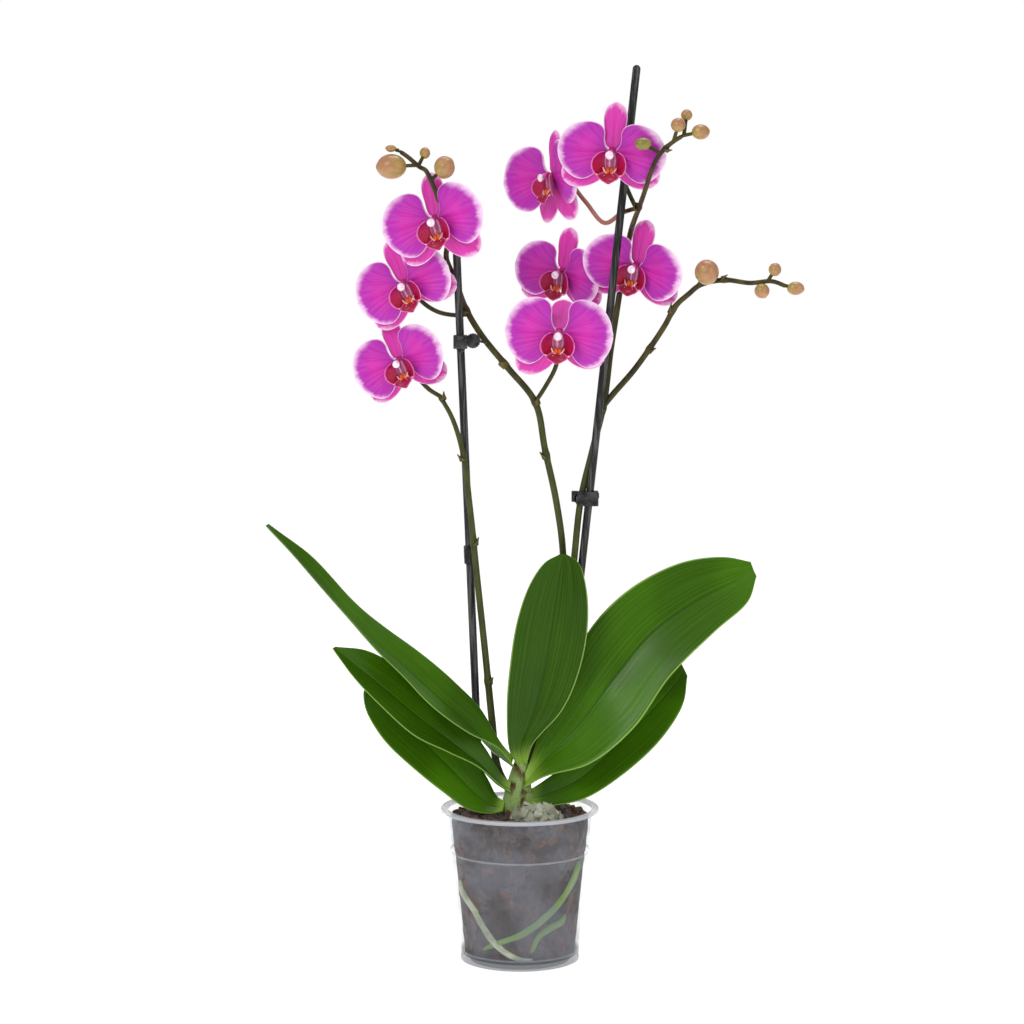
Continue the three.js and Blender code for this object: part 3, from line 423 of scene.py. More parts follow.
def loft(rings, finish=0, **values):
    """Rings of equal count joined in a row and closed by a point at each end."""
    rings = np.asarray(rings, float)
    rows, count = rings.shape[:2]
    points = np.vstack([rings.reshape(-1, 3), rings[0].mean(axis=0), rings[-1].mean(axis=0)])
    faces = []
    for r in range(rows - 1):
        for i in range(count):
            a, b = r * count + i, r * count + (i + 1) % count
            faces.append((a, b, b + count, a + count))
    first, last = rows * count, rows * count + 1
    for i in range(count):
        j = (i + 1) % count
        faces.append((first, j, i))
        faces.append((last, (rows - 1) * count + i, (rows - 1) * count + j))
    spread = {}
    for name, value in values.items():
        by_ring = np.asarray(value, float)
        if by_ring.shape[:2] != (rows, count):
            by_ring = np.repeat(by_ring[:, None], count, axis=1)
        flat = by_ring.reshape(rows * count, *by_ring.shape[2:])
        spread[name] = np.concatenate([flat, flat[:1], flat[-1:]])
    return Shape(points, faces, finish, **spread)


def blade_grid(rows, columns):
    """u from 0 to 1 along a blade and v from -1 to 1 across it."""
    return np.meshgrid(np.linspace(0, 1, rows + 1), np.linspace(-1, 1, columns + 1), indexing="ij")


def blade(place, half, rows, columns, facing, finish=0, rim=0.35, paint=None, back=None, chart=None):
    """A thin body whose middle surface is place(u, v) and half its thickness half(u, v).

    u runs from 0 to 1 and v from -1 to 1. Its front is the face towards facing. The map of its
    surface is u and v from 0 to 1, or what chart(u, v) gives. paint(u, v) is its colour, on
    the back too unless back gives another.
    """
    u, v = blade_grid(rows, columns)
    middle = place(u, v)
    normal = unit(np.cross(np.gradient(middle, axis=0), np.gradient(middle, axis=1)))
    if (normal @ np.asarray(facing, float)).sum() < 0:
        normal = -normal
    border = np.ones_like(u)
    border[[0, -1], :] = rim
    border[:, [0, -1]] = rim
    lift = normal * (half(u, v) * border)[..., None]
    points = np.concatenate([(middle + lift).reshape(-1, 3), (middle - lift).reshape(-1, 3)])
    wide, count = columns + 1, (columns + 1) * (rows + 1)
    faces = []
    for i in range(rows):
        for j in range(columns):
            a = i * wide + j
            b, c, d = a + wide, a + wide + 1, a + 1
            faces += [(a, b, c, d), (count + a, count + d, count + c, count + b)]
    edges = [(i * wide, (i + 1) * wide) for i in range(rows)]
    edges += [((i + 1) * wide + columns, i * wide + columns) for i in range(rows)]
    edges += [(j + 1, j) for j in range(columns)]
    edges += [(rows * wide + j, rows * wide + j + 1) for j in range(columns)]
    faces += [(a, count + a, count + b, b) for a, b in edges]
    surface = np.stack([u, (v + 1) / 2] if chart is None else chart(u, v), axis=-1).reshape(-1, 2)
    values = {"uv": np.tile(surface, (2, 1)), "front": np.repeat([1.0, 0.0], count)}
    if paint is not None:
        front = paint(u, v).reshape(-1, 4)
        values["paint"] = np.vstack([front, front if back is None else np.tile(back, (count, 1))])
    return Shape(points, faces, finish, **values)


def round_angles(count):
    return np.linspace(0, 2 * math.pi, count, endpoint=False)


def ring(angle, radius, z, centre=(0, 0)):
    """A level ring of points; its radius may change with the angle."""
    x, y = centre[0] + np.cos(angle) * radius, centre[1] + np.sin(angle) * radius
    return np.stack([x, y, np.full(len(angle), z)], axis=1)


def ball(centre, radii, rows=14, count=20, axis=(0, 0, 1), swell=None, paint=None):
    """A stretched ball whose poles lie along axis. swell(t, a) changes its radius at t from 0 to 1
    between the poles and at the angle a round them."""
    pole = unit(np.asarray(axis, float))
    side = unit(np.cross(pole, ASKEW))
    other = np.cross(pole, side)
    t, a = np.meshgrid(np.linspace(0.03, 0.97, rows), round_angles(count), indexing="ij")
    outward = np.cos(a)[..., None] * side + np.sin(a)[..., None] * other
    away = -np.cos(math.pi * t)[..., None] * pole + np.sin(math.pi * t)[..., None] * outward
    grown_by = np.ones_like(t) if swell is None else swell(t, a)
    values = {} if paint is None else {"paint": paint(t, a)}
    return loft(np.asarray(centre) + away * np.asarray(radii) * grown_by[..., None], **values)


def tube(path, radii, sides, steps, paint=None):
    """A round stem with rounded ends along a smooth path."""
    t = np.linspace(0, 1, steps + 1)
    centres = even_curve(path, t)
    radius = along(radii, t) * np.minimum(1, 0.35 + np.minimum(t, 1 - t) * steps * 0.65)
    heading = unit(np.gradient(centres, axis=0))
    side = unit(np.cross(heading[0], ASKEW))
    angle = round_angles(sides)
    rings = []
    for centre, ahead, size in zip(centres, heading, radius):
        side = unit(side - ahead * np.dot(side, ahead))
        other = np.cross(ahead, side)
        rings.append(centre + size * (np.cos(angle)[:, None] * side + np.sin(angle)[:, None] * other))
    values = {} if paint is None else {"paint": paint(t)}
    return loft(rings, **values)


def lathe(outline, sides):
    """A turned shape from radii and heights; the outline starts and ends above the axis."""
    return loft([ring(round_angles(sides), r, z) for r, z in outline])


# ---- objects ----
def new_object(name, data):
    obj = bpy.data.objects.new(name, data)
    bpy.context.scene.collection.objects.link(obj)
    return obj


def keep_edges(mesh):
    """Shades the steep edges of a mesh as sharp ones."""
    mesh.set_sharp_from_angle(angle=math.radians(SHARP_ANGLE))


def mesh_object(name, shape, materials, edged=False):
    """An object at the origin with the shape's mesh, its points' values and its materials."""
    mesh = bpy.data.meshes.new(name)
    mesh.from_pydata((shape.points * MM).tolist(), [], shape.faces)
    mesh.polygons.foreach_set("use_smooth", [True] * len(shape.faces))
    mesh.polygons.foreach_set("material_index", shape.finishes)
    corners = np.zeros(len(mesh.loops), np.int32)
    mesh.loops.foreach_get("vertex_index", corners)
    for key, value in shape.values.items():
        if key == "uv":
            mesh.uv_layers.new(name="Surface").data.foreach_set("uv", value[corners].ravel())
        elif value.ndim == 2:
            colours_at = mesh.color_attributes.new(key, "FLOAT_COLOR", "POINT")
            colours_at.data.foreach_set("color", value.ravel())
        else:
            mesh.attributes.new(key, "FLOAT", "POINT").data.foreach_set("value", value)
    if edged:
        keep_edges(mesh)
    for material in materials:
        mesh.materials.append(material)
    return new_object(name, mesh)


def plain_mesh(obj):
    """Turns an object's modifiers into its mesh."""
    evaluated = obj.evaluated_get(bpy.context.evaluated_depsgraph_get())
    mesh = bpy.data.meshes.new_from_object(evaluated)
    obj.modifiers.clear()
    obj.data = mesh
    return obj


def keep(obj, slot, *nodes):
    """Hands a finished piece to the frame and hides the solids it stands for. Its slot is not used."""
    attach(obj, BODY)
    if nodes:
        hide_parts(*nodes)


# ---- node graphs ----
class Graph:
    """Adds nodes to a tree. An input given as a socket is linked, and any other is its value."""

    def __init__(self, tree):
        self.tree = tree

    def add(self, kind, inputs=None, **settings):
        node = self.tree.nodes.new(kind)
        for key, value in settings.items():
            setattr(node, key, value)
        self.give(node, inputs or {})
        return node

    def give(self, node, inputs):
        for key, value in inputs.items():
            if isinstance(value, bpy.types.NodeSocket):
                self.tree.links.new(value, node.inputs[key])
            else:
                node.inputs[key].default_value = value

    def math(self, operation, a, b=0.0, c=0.0):
        return self.add("ShaderNodeMath", {0: a, 1: b, 2: c}, operation=operation).outputs[0]

    def times(self, a, b):
        return self.math("MULTIPLY", a, b)

    def rest_of(self, share):
        return self.math("SUBTRACT", 1.0, share)

    def away_from(self, value, centre):
        return self.math("ABSOLUTE", self.math("SUBTRACT", value, centre))

    def vector(self, operation, a, b):
        """Sums on vectors; with SCALE, b is a number."""
        inputs = {0: a, "Scale" if operation == "SCALE" else 1: b}
        return self.add("ShaderNodeVectorMath", inputs, operation=operation).outputs[0]

    def step(self, value, low, high, start=0.0, end=1.0):
        """start below low and end above high, with a smooth change between."""
        inputs = {"Value": value, "From Min": low, "From Max": high, "To Min": start, "To Max": end}
        return self.add("ShaderNodeMapRange", inputs, interpolation_type="SMOOTHSTEP").outputs[0]

    def blend(self, share, a, b, how="MIX"):
        """Two colours mixed by a share."""
        node = self.add("ShaderNodeMix", {0: share, 6: a, 7: b}, data_type="RGBA", blend_type=how)
        return node.outputs[2]

    def noise(self, place, scale, detail=3.0, roughness=0.5):
        inputs = {"Vector": place, "Scale": scale, "Detail": detail, "Roughness": roughness}
        return self.add("ShaderNodeTexNoise", inputs).outputs[0]

    def split(self, vector):
        return self.add("ShaderNodeSeparateXYZ", {0: vector}).outputs

    def joint(self, x, y, z):
        return self.add("ShaderNodeCombineXYZ", {0: x, 1: y, 2: z}).outputs[0]

    def value(self, name, output="Fac"):
        """A number or a Color kept at the points of a mesh."""
        return self.add("ShaderNodeAttribute", attribute_name=name).outputs[output]

    def random(self, low, high, seed):
        inputs = {"Min": low, "Max": high, "Seed": seed}
        return self.add("FunctionNodeRandomValue", inputs, data_type="FLOAT_VECTOR").outputs[0]


def node_group(name, kind, inputs, outputs):
    """An empty node group with its sockets, its graph, the inputs given to it and its output node."""
    group = bpy.data.node_groups.new(name, kind)
    for socket_name, socket_type, default in inputs:
        socket = group.interface.new_socket(
            socket_name, in_out="INPUT", socket_type=f"NodeSocket{socket_type}")
        if default is not None:
            socket.default_value = default
    for socket_name, socket_type in outputs:
        group.interface.new_socket(socket_name, in_out="OUTPUT", socket_type=f"NodeSocket{socket_type}")
    graph = Graph(group)
    return group, graph, graph.add("NodeGroupInput").outputs, graph.add("NodeGroupOutput")


def group_named(name, make):
    return bpy.data.node_groups.get(name) or make(name)


def mottle_group(name):
    """Soft patches and fine grain on a surface: a mask of each and a height for bumps."""
    group, g, given, out = node_group(
        name, "ShaderNodeTree",
        [("Place", "Vector", None), ("Patch Scale", "Float", 60.0), ("Grain Scale", "Float", 900.0),
         ("Grain Share", "Float", 0.4)],
        [("Patches", "Float"), ("Grain", "Float"), ("Height", "Float")])
    patches = g.noise(given["Place"], given["Patch Scale"], 4.0)
    grain = g.noise(given["Place"], given["Grain Scale"], 2.0)
    height = g.math("MULTIPLY_ADD", grain, given["Grain Share"], patches)
    g.give(out, {"Patches": g.step(patches, 0.35, 0.65), "Grain": grain, "Height": height})
    return group


def veins_group(name):
    """Fine lines that run up a blade and fan with its map: a mask, feathering and a height."""
    group, g, given, out = node_group(
        name, "ShaderNodeTree",
        [("Surface", "Vector", None), ("Count", "Float", 60.0), ("Waver", "Float", 1.5),
         ("Seed", "Float", 0.0)],
        [("Lines", "Float"), ("Feather", "Float"), ("Height", "Float")])
    surface = g.split(given["Surface"])
    across, up = g.times(surface[1], given["Count"]), g.times(surface[0], given["Waver"])
    place = g.joint(up, across, given["Seed"])
    lines = g.noise(place, 1.0, 2.0, 0.6)
    feather = g.noise(g.vector("MULTIPLY", place, (1.3, 0.35, 1.0)), 1.0, 3.0, 0.6)
    g.give(out, {"Lines": g.step(lines, 0.42, 0.62), "Feather": feather, "Height": lines})
    return group


def mottled(graph, patch_scale, grain_scale, grain_share, stretch=None):
    """The outputs of the mottle group, laid out in the object's space or in a stretched one."""
    place = object_place(graph)
    if stretch:
        place = graph.add("ShaderNodeMapping", {"Vector": place, "Scale": stretch}).outputs[0]
    inputs = {"Place": place, "Patch Scale": patch_scale, "Grain Scale": grain_scale,
              "Grain Share": grain_share}
    return graph.add("ShaderNodeGroup", inputs, node_tree=group_named("Mottle", mottle_group)).outputs


def veined(graph, count, waver, seed):
    """The outputs of the veins group on the blade's own map."""
    inputs = {"Surface": surface_map(graph), "Count": count, "Waver": waver, "Seed": seed}
    return graph.add("ShaderNodeGroup", inputs, node_tree=group_named("Veins", veins_group)).outputs


def finish_named(name, make):
    """The material of that name, with the shader inputs that make(graph) gives at its first use."""
    found = bpy.data.materials.get(name)
    if found:
        return found
    material = bpy.data.materials.new(name)
    material.use_nodes = True
    graph = Graph(material.node_tree)
    nodes = material.node_tree.nodes
    shader = next(node for node in nodes if node.bl_idname == "ShaderNodeBsdfPrincipled")
    graph.give(shader, make(graph))
    return material


def bump(graph, height, distance, strength=1.0):
    inputs = {"Height": height, "Distance": distance, "Strength": strength}
    return graph.add("ShaderNodeBump", inputs).outputs[0]


def object_place(graph):
    return graph.add("ShaderNodeTexCoord").outputs["Object"]


def surface_map(graph):
    return graph.add("ShaderNodeUVMap", uv_map="Surface").outputs[0]


# ---- finishes ----
# Colours of details, which stay the same when the colours in the panel change.
BARK_RED, ROOT_GREEN, CRUMB_PITS = srgb(139, 84, 50), srgb(112, 150, 48), srgb(122, 126, 96)
# The rib colour is painted shade for the groove along a leaf's rib.
LEAF_STREAK, LEAF_RIB_SHADE, LEAF_EDGE = srgb(104, 146, 44), srgb(30, 62, 10), srgb(148, 180, 92)
LEAF_FOOT, LEAF_UNDERSIDE, SHEATH_FLUSH = srgb(126, 160, 58), srgb(88, 126, 50), srgb(74, 34, 28)
STEM_BROWN, STEM_TAN, STEM_PINK = srgb(44, 30, 18), srgb(74, 58, 26), srgb(158, 104, 92)
STEM_SPECKS, STAKE_WORN = srgb(120, 112, 62), srgb(110, 108, 106)
BRACT_OLIVE, BRACT_TAN, BRACT_VEINS = srgb(66, 60, 28), srgb(104, 92, 50), srgb(62, 44, 24)
LIP_BLOTCHES, BUD_BLOTCHES = srgb(120, 8, 50), srgb(214, 190, 150)
FLOOR_WHITES = (0.93, 0.93, 0.93, 1), (0.95, 0.95, 0.95, 1)


def colours():
    return bpy.context.scene.orchid_colours


def tint(colour, share):
    """A colour made darker (below 1) or paler (above 1)."""
    channels = [c * share if share <= 1 else mix(c, 1, share - 1) for c in colour[:3]]
    return (*channels, 1.0)


def pot_plastic(g):
    height = g.split(object_place(g))[2]
    under_rim = (POT["height"] - POT["rim_drop"]) * MM
    ring_z, foot_z = (POT["ring_z"] - 0.2) * MM, (POT["foot_z"] - 0.2) * MM
    mottle = mottled(g, patch_scale=26.0, grain_scale=700.0, grain_share=0.25)
    rim = g.step(height, under_rim - 0.0005, under_rim + 0.0003)
    ring_line = g.rest_of(g.step(g.away_from(height, ring_z), 0.0004, 0.0012))
    foot_line = g.step(g.away_from(height, foot_z), 0.001, 0.0004)
    lines = g.times(g.math("MAXIMUM", ring_line, foot_line), 0.4)
    foot = g.step(height, foot_z + 0.0004, foot_z - 0.0016)
    haze = g.math("MULTIPLY_ADD", mottle["Patches"], 0.12, 0.11)
    solid = g.math("MAXIMUM", g.times(rim, 0.6), g.times(foot, 0.55))
    clear = g.math("MAXIMUM", g.math("MAXIMUM", haze, lines), solid)
    base = colours().pot_plastic
    body = g.blend(foot, g.blend(mottle["Patches"], tint(base, 0.7), base), tint(base, 0.35))
    return {
        "Base Color": g.blend(g.math("MAXIMUM", rim, lines), body, tint(base, 1.35)), "Alpha": clear,
        "Roughness": 0.24, "Specular IOR Level": 0.3,
        "Normal": bump(g, mottle["Height"], 0.00015, 0.35),
    }


def bark_brown(g):
    tone = g.value("tone")
    mottle = mottled(g, patch_scale=160.0, grain_scale=1300.0, grain_share=0.7)
    base = colours().bark
    chip = g.blend(tone, tint(base, 0.45), tint(base, 1.12))
    reddish = g.blend(g.step(tone, 0.6, 0.95), chip, BARK_RED)
    return {
        "Base Color": g.blend(g.step(mottle["Grain"], 0.35, 0.7), tint(base, 0.3), reddish),
        "Roughness": g.step(mottle["Patches"], 0.2, 0.8, 0.5, 0.85),
        "Normal": bump(g, mottle["Height"], 0.0006),
    }


def root_skin(g):
    mottle = mottled(g, patch_scale=120.0, grain_scale=900.0, grain_share=0.5)
    base = colours().root
    silver = g.blend(mottle["Patches"], tint(base, 0.8), tint(base, 1.25))
    return {
        "Base Color": g.blend(g.value("tone"), silver, ROOT_GREEN), "Roughness": 0.6,
        "Normal": bump(g, mottle["Height"], 0.0003, 0.6),
    }


def crumb_white(g):
    mottle = mottled(g, patch_scale=300.0, grain_scale=2200.0, grain_share=0.8)
    base = colours().crumbs
    shade = g.blend(g.value("tone"), tint(base, 0.5), tint(base, 1.25))
    return {
        "Base Color": g.blend(g.step(mottle["Grain"], 0.3, 0.5), CRUMB_PITS, shade), "Roughness": 0.85,
        "Normal": bump(g, mottle["Height"], 0.0004),
    }


def leaf_green(g):
    up, across, _ = g.split(surface_map(g))
    side = g.times(g.away_from(across, 0.5), 2.0)
    veins = veined(g, count=46.0, waver=1.6, seed=3.0)
    mottle = mottled(g, patch_scale=26.0, grain_scale=420.0, grain_share=0.3)
    base = colours().leaf
    # Large soft patches of painted shade, which darken the leaf to 0.6 of its colour where the noise is
    # low.
    wide = g.step(g.noise(object_place(g), 14.0, 1.0), 0.38, 0.62)
    lit = g.blend(wide, tint(base, 0.6), g.blend(mottle["Patches"], tint(base, 0.85), base))
    # Painted shade: the leaves listed in LEAF_SHADE are darkened towards 0.3 of the leaf colour.
    body = g.blend(g.value("shade"), lit, tint(base, 0.3))
    streaked = g.blend(g.times(veins["Lines"], 0.1), body, LEAF_STREAK)
    # A thin dark line of painted shade along the groove of the rib.
    rib = g.times(g.step(side, 0.045, 0.01), g.step(up, 0.98, 0.6))
    ribbed = g.blend(g.times(rib, 0.6), streaked, LEAF_RIB_SHADE)
    edged = g.blend(g.times(g.step(side, 0.955, 0.99), 0.75), ribbed, LEAF_EDGE)
    foot = g.step(g.math("MULTIPLY_ADD", veins["Feather"], 0.14, up), 0.24, 0.08)
    young = g.blend(foot, edged, LEAF_FOOT)
    relief = g.math("MULTIPLY_ADD", mottle["Height"], 0.6, veins["Height"])
    return {
        "Base Color": g.blend(g.rest_of(g.value("front")), young, LEAF_UNDERSIDE),
        "Roughness": g.step(veins["Lines"], 0.0, 1.0, 0.22, 0.46), "Specular IOR Level": 0.13,
        "Normal": bump(g, relief, 0.0002, 0.35),
    }


def crown_green(g):
    mottle = mottled(g, patch_scale=130.0, grain_scale=1400.0, grain_share=0.5, stretch=(1, 1, 0.3))
    base = colours().crown
    body = g.blend(mottle["Grain"], tint(base, 0.75), tint(base, 1.2))
    flush = g.times(g.step(mottle["Patches"], 0.3, 0.8), g.value("flush"))
    return {
        "Base Color": g.blend(flush, body, SHEATH_FLUSH), "Roughness": 0.4, "Specular IOR Level": 0.12,
        "Normal": bump(g, mottle["Height"], 0.0003, 0.6),
    }


def stem_olive(g):
    tone = g.value("tone")
    mottle = mottled(g, patch_scale=150.0, grain_scale=2600.0, grain_share=0.4, stretch=(1, 1, 0.35))
    base = colours().stem
    green = g.blend(mottle["Patches"], tint(base, 0.6), base)
    brown = g.blend(mottle["Patches"], STEM_BROWN, STEM_TAN)
    pink = g.blend(g.step(tone, 0.85, 1.0), g.blend(g.step(tone, 0.15, 0.8), green, brown), STEM_PINK)
    return {
        "Base Color": g.blend(g.step(mottle["Grain"], 0.62, 0.72, 0.0, 0.2), pink, STEM_SPECKS),
        "Roughness": 0.5, "Specular IOR Level": 0.2, "Normal": bump(g, mottle["Height"], 0.0002, 0.5),
    }


def bract_tan(g):
    mottle = mottled(g, patch_scale=260.0, grain_scale=1800.0, grain_share=0.5)
    veins = veined(g, count=14.0, waver=1.0, seed=5.0)
    body = g.blend(mottle["Patches"], BRACT_OLIVE, BRACT_TAN)
    return {
        "Base Color": g.blend(g.times(veins["Lines"], 0.5), body, BRACT_VEINS), "Roughness": 0.62,
        "Specular IOR Level": 0.2, "Normal": bump(g, veins["Height"], 0.0002, 0.6),
    }


def stake_grey(g):
    mottle = mottled(g, patch_scale=420.0, grain_scale=2400.0, grain_share=0.5, stretch=(1, 1, 0.06))
    base = colours().stake
    streaks = g.blend(g.step(mottle["Patches"], 0.3, 1.0), tint(base, 0.55), tint(base, 1.06))
    return {
        "Base Color": g.blend(g.step(mottle["Grain"], 0.6, 0.75, 0.0, 0.2), streaks, STAKE_WORN),
        "Roughness": g.step(mottle["Patches"], 0.0, 1.0, 0.3, 0.5),
        "Specular IOR Level": 0.3, "Normal": bump(g, mottle["Height"], 0.00012, 0.4),
    }


def clip_black(g):
    mottle = mottled(g, patch_scale=180.0, grain_scale=3000.0, grain_share=0.8)
    base = colours().clip
    return {
        "Base Color": g.blend(mottle["Patches"], tint(base, 0.7), tint(base, 1.05)),
        "Roughness": g.step(mottle["Grain"], 0.3, 0.7, 0.3, 0.5), "Specular IOR Level": 0.28,
        "Normal": bump(g, mottle["Height"], 0.0001, 0.4),
    }


def tepal_colours(g, middle, foot, edge_glow, fade_width, fade_share):
    """Colours of a petal or sepal: deeper at its foot, more violet before its rim, where it is
    feathered out to nearly white along the veins, and a fine white line round its edge."""
    up, across, _ = g.split(surface_map(g))
    margin, pale = g.value("margin"), colours().petal_rim
    veins = veined(g, count=80.0, waver=2.2, seed=1.0)
    fine = mottled(g, patch_scale=70.0, grain_scale=2400.0, grain_share=0.6)
    body = g.blend(g.times(fine["Patches"], 0.5), middle, tint(middle, 0.74))
    violet = g.blend(g.step(up, 0.5, 0.85), body, edge_glow)
    streaked = g.blend(g.times(veins["Lines"], 0.08), violet, tint(middle, 1.3))
    throat = g.step(g.math("MULTIPLY_ADD", veins["Feather"], 0.25, up), 0.6, 0.2)
    deep = g.blend(throat, streaked, foot)
    feather = g.times(g.math("SUBTRACT", veins["Feather"], 0.5), 7.0)
    lower = g.times(g.step(across, 0.52, 0.85), 2.6)
    reach = g.math("ADD", g.math("ADD", margin, feather), lower)
    outer = g.times(g.value("far"), g.step(up, 0.62, 0.85))
    fade = g.times(g.step(reach, fade_width, 0.2), outer)
    faded = g.blend(g.times(fade, fade_share), deep, pale)
    rib = g.times(g.step(g.away_from(across, 0.5), 0.01, 0.002), g.step(up, 0.9, 0.5))
    ribbed = g.blend(g.times(rib, 0.4), faded, tint(middle, 0.6))
    rimmed = g.blend(g.times(g.step(margin, 0.95, 0.35), 0.8), ribbed, pale)
    return {
        "Base Color": g.blend(g.times(g.rest_of(g.value("front")), 0.4), rimmed, pale),
        "Roughness": 0.5, "Specular IOR Level": 0.25,
        "Subsurface Weight": 0.1, "Subsurface Scale": 0.002, "Subsurface Radius": (1.0, 0.35, 0.7),
        "Normal": bump(g, g.math("MULTIPLY_ADD", fine["Grain"], 0.25, veins["Height"]), 0.0003, 0.5),
    }


def petal_magenta(g):
    return tepal_colours(g, colours().petal, colours().petal_foot, colours().petal_violet,
                         fade_width=5.6, fade_share=0.85)


def sepal_pink(g):
    return tepal_colours(g, colours().sepal, colours().sepal_foot, colours().sepal,
                         fade_width=3.5, fade_share=0.6)


def lip_paint(g):
    mottle = mottled(g, patch_scale=420.0, grain_scale=3200.0, grain_share=0.5)
    blotches = g.times(mottle["Patches"], 0.3)
    return {
        "Base Color": g.blend(blotches, g.value("paint", "Color"), LIP_BLOTCHES, "MULTIPLY"),
        "Roughness": 0.4, "Specular IOR Level": 0.3, "Coat Weight": 0.1, "Coat Roughness": 0.2,
        "Subsurface Weight": 0.08, "Subsurface Scale": 0.002, "Subsurface Radius": (1.0, 0.2, 0.4),
        "Normal": bump(g, mottle["Height"], 0.0002, 0.5),
    }


def bud_skin(g):
    mottle = mottled(g, patch_scale=190.0, grain_scale=2400.0, grain_share=0.4)
    blotches = g.times(mottle["Patches"], 0.35)
    return {
        "Base Color": g.blend(blotches, g.value("paint", "Color"), BUD_BLOTCHES, "MULTIPLY"),
        "Roughness": 0.38, "Coat Weight": 0.2, "Coat Roughness": 0.25,
        "Subsurface Weight": 0.12, "Subsurface Scale": 0.003,
        "Normal": bump(g, mottle["Height"], 0.0002, 0.4),
    }


def floor_white(g):
    return {
        "Base Color": g.blend(g.noise(object_place(g), 40.0, 2.0), *FLOOR_WHITES), "Roughness": 0.8,
        "Emission Color": (1, 1, 1, 1), "Emission Strength": 0.62,
    }


# ---- geometry node trees ----
def stem_tree(name):
    """Sweeps a round or ribbed rod along every edge path, as thick as its points' radius says."""
    group, g, given, out = node_group(
        name, "GeometryNodeTree",
        [("Geometry", "Geometry", None), ("Ribs", "Int", 8), ("Rib Depth", "Float", 0.0),
         ("Material", "Material", None)],
        [("Geometry", "Geometry")])
    line = g.add("GeometryNodeMeshToCurve", {"Mesh": given["Geometry"]}).outputs[0]
    section = g.add("GeometryNodeCurveStar", {
        "Points": given["Ribs"], "Inner Radius": g.rest_of(given["Rib Depth"]), "Outer Radius": 1.0})
    radius = g.add("GeometryNodeInputNamedAttribute", {"Name": "radius"}, data_type="FLOAT").outputs[0]
    rod = g.add("GeometryNodeCurveToMesh", {
        "Curve": line, "Profile Curve": section.outputs[0], "Scale": radius, "Fill Caps": True})
    real = g.add("GeometryNodeRealizeInstances", {"Geometry": rod.outputs[0]}).outputs[0]
    smooth = g.add("GeometryNodeSetShadeSmooth", {"Geometry": real}).outputs[0]
    painted_rod = g.add("GeometryNodeSetMaterial", {"Geometry": smooth, "Material": given["Material"]})
    g.give(out, {0: painted_rod.outputs[0]})
    return group


def chips_tree(name):
    """Scatters uneven chips over a surface, each laid flat on it and turned at random."""
    group, g, given, out = node_group(
        name, "GeometryNodeTree",
        [("Geometry", "Geometry", None), ("Chip Size", "Float", 0.008), ("Flatness", "Float", 0.4),
         ("Spacing", "Float", 0.005), ("Density", "Float", 40000.0), ("Seed", "Int", 0),
         ("Material", "Material", None)],
        [("Geometry", "Geometry")])
    spots = g.add("GeometryNodeDistributePointsOnFaces", {
        "Mesh": given["Geometry"], "Distance Min": given["Spacing"], "Density Max": given["Density"],
        "Seed": given["Seed"]}, distribute_method="POISSON").outputs
    chip = g.add("GeometryNodeMeshCube", {
        "Size": (1, 1, 1), "Vertices X": 3, "Vertices Y": 3, "Vertices Z": 3}).outputs["Mesh"]
    random_turn = g.random((-0.5, -0.5, 0), (0.5, 0.5, 6.28), seed=3)
    turn = g.add("FunctionNodeEulerToRotation", {"Euler": random_turn}).outputs[0]
    rotation = g.add("FunctionNodeRotateRotation", {
        "Rotation": spots["Rotation"], "Rotate By": turn}, rotation_space="LOCAL").outputs[0]
    size = g.vector("SCALE", g.random((0.75, 0.5, 0.6), (1.35, 0.95, 1.0), seed=7), given["Chip Size"])
    pressed = g.vector("MULTIPLY", size, g.joint(1.0, 1.0, given["Flatness"]))
    laid = g.add("GeometryNodeInstanceOnPoints", {
        "Points": spots["Points"], "Instance": chip, "Rotation": rotation, "Scale": pressed}).outputs[0]
    tone = g.add("FunctionNodeRandomValue", {"Seed": 11}, data_type="FLOAT").outputs[1]
    toned = g.add("GeometryNodeStoreNamedAttribute", {
        "Geometry": laid, "Name": "tone", "Value": tone}, data_type="FLOAT", domain="INSTANCE")
    real = g.add("GeometryNodeRealizeInstances", {"Geometry": toned.outputs[0]}).outputs[0]
    place = g.add("GeometryNodeInputPosition").outputs[0]
    wobble = g.add("ShaderNodeTexNoise", {"Vector": place, "Scale": 170.0, "Detail": 1.0})
    centred = g.vector("SUBTRACT", wobble.outputs["Color"], (0.5, 0.5, 0.5))
    push = g.vector("SCALE", centred, given["Chip Size"])
    worn = g.add("GeometryNodeSetPosition", {"Geometry": real, "Offset": push}).outputs[0]
    painted_chips = g.add("GeometryNodeSetMaterial", {"Geometry": worn, "Material": given["Material"]})
    g.give(out, {0: painted_chips.outputs[0]})
    return group


def grown(obj, tree_name, make_tree, **inputs):
    """Gives an object a node tree with these inputs and turns its result into a plain mesh."""
    tree = group_named(tree_name, make_tree)
    modifier = obj.modifiers.new(tree_name, "NODES")
    modifier.node_group = tree
    sockets = {s.name: s.identifier for s in tree.interface.items_tree if s.in_out == "INPUT"}
    for name, value in inputs.items():
        modifier[sockets[name.replace("_", " ").title()]] = value
    return plain_mesh(obj)


def path_object(name, lines):
    """An object of edge paths, each given as points, radii and tones."""
    points, radii, tones = (np.concatenate(parts) for parts in zip(*lines))
    edges, start = [], 0
    for line in lines:
        edges += [(start + i, start + i + 1) for i in range(len(line[0]) - 1)]
        start += len(line[0])
    mesh = bpy.data.meshes.new(name)
    mesh.from_pydata((points * MM).tolist(), edges, [])
    for key, values in (("radius", radii * MM), ("tone", tones)):
        mesh.attributes.new(key, "FLOAT", "POINT").data.foreach_set("value", values)
    return new_object(name, mesh)


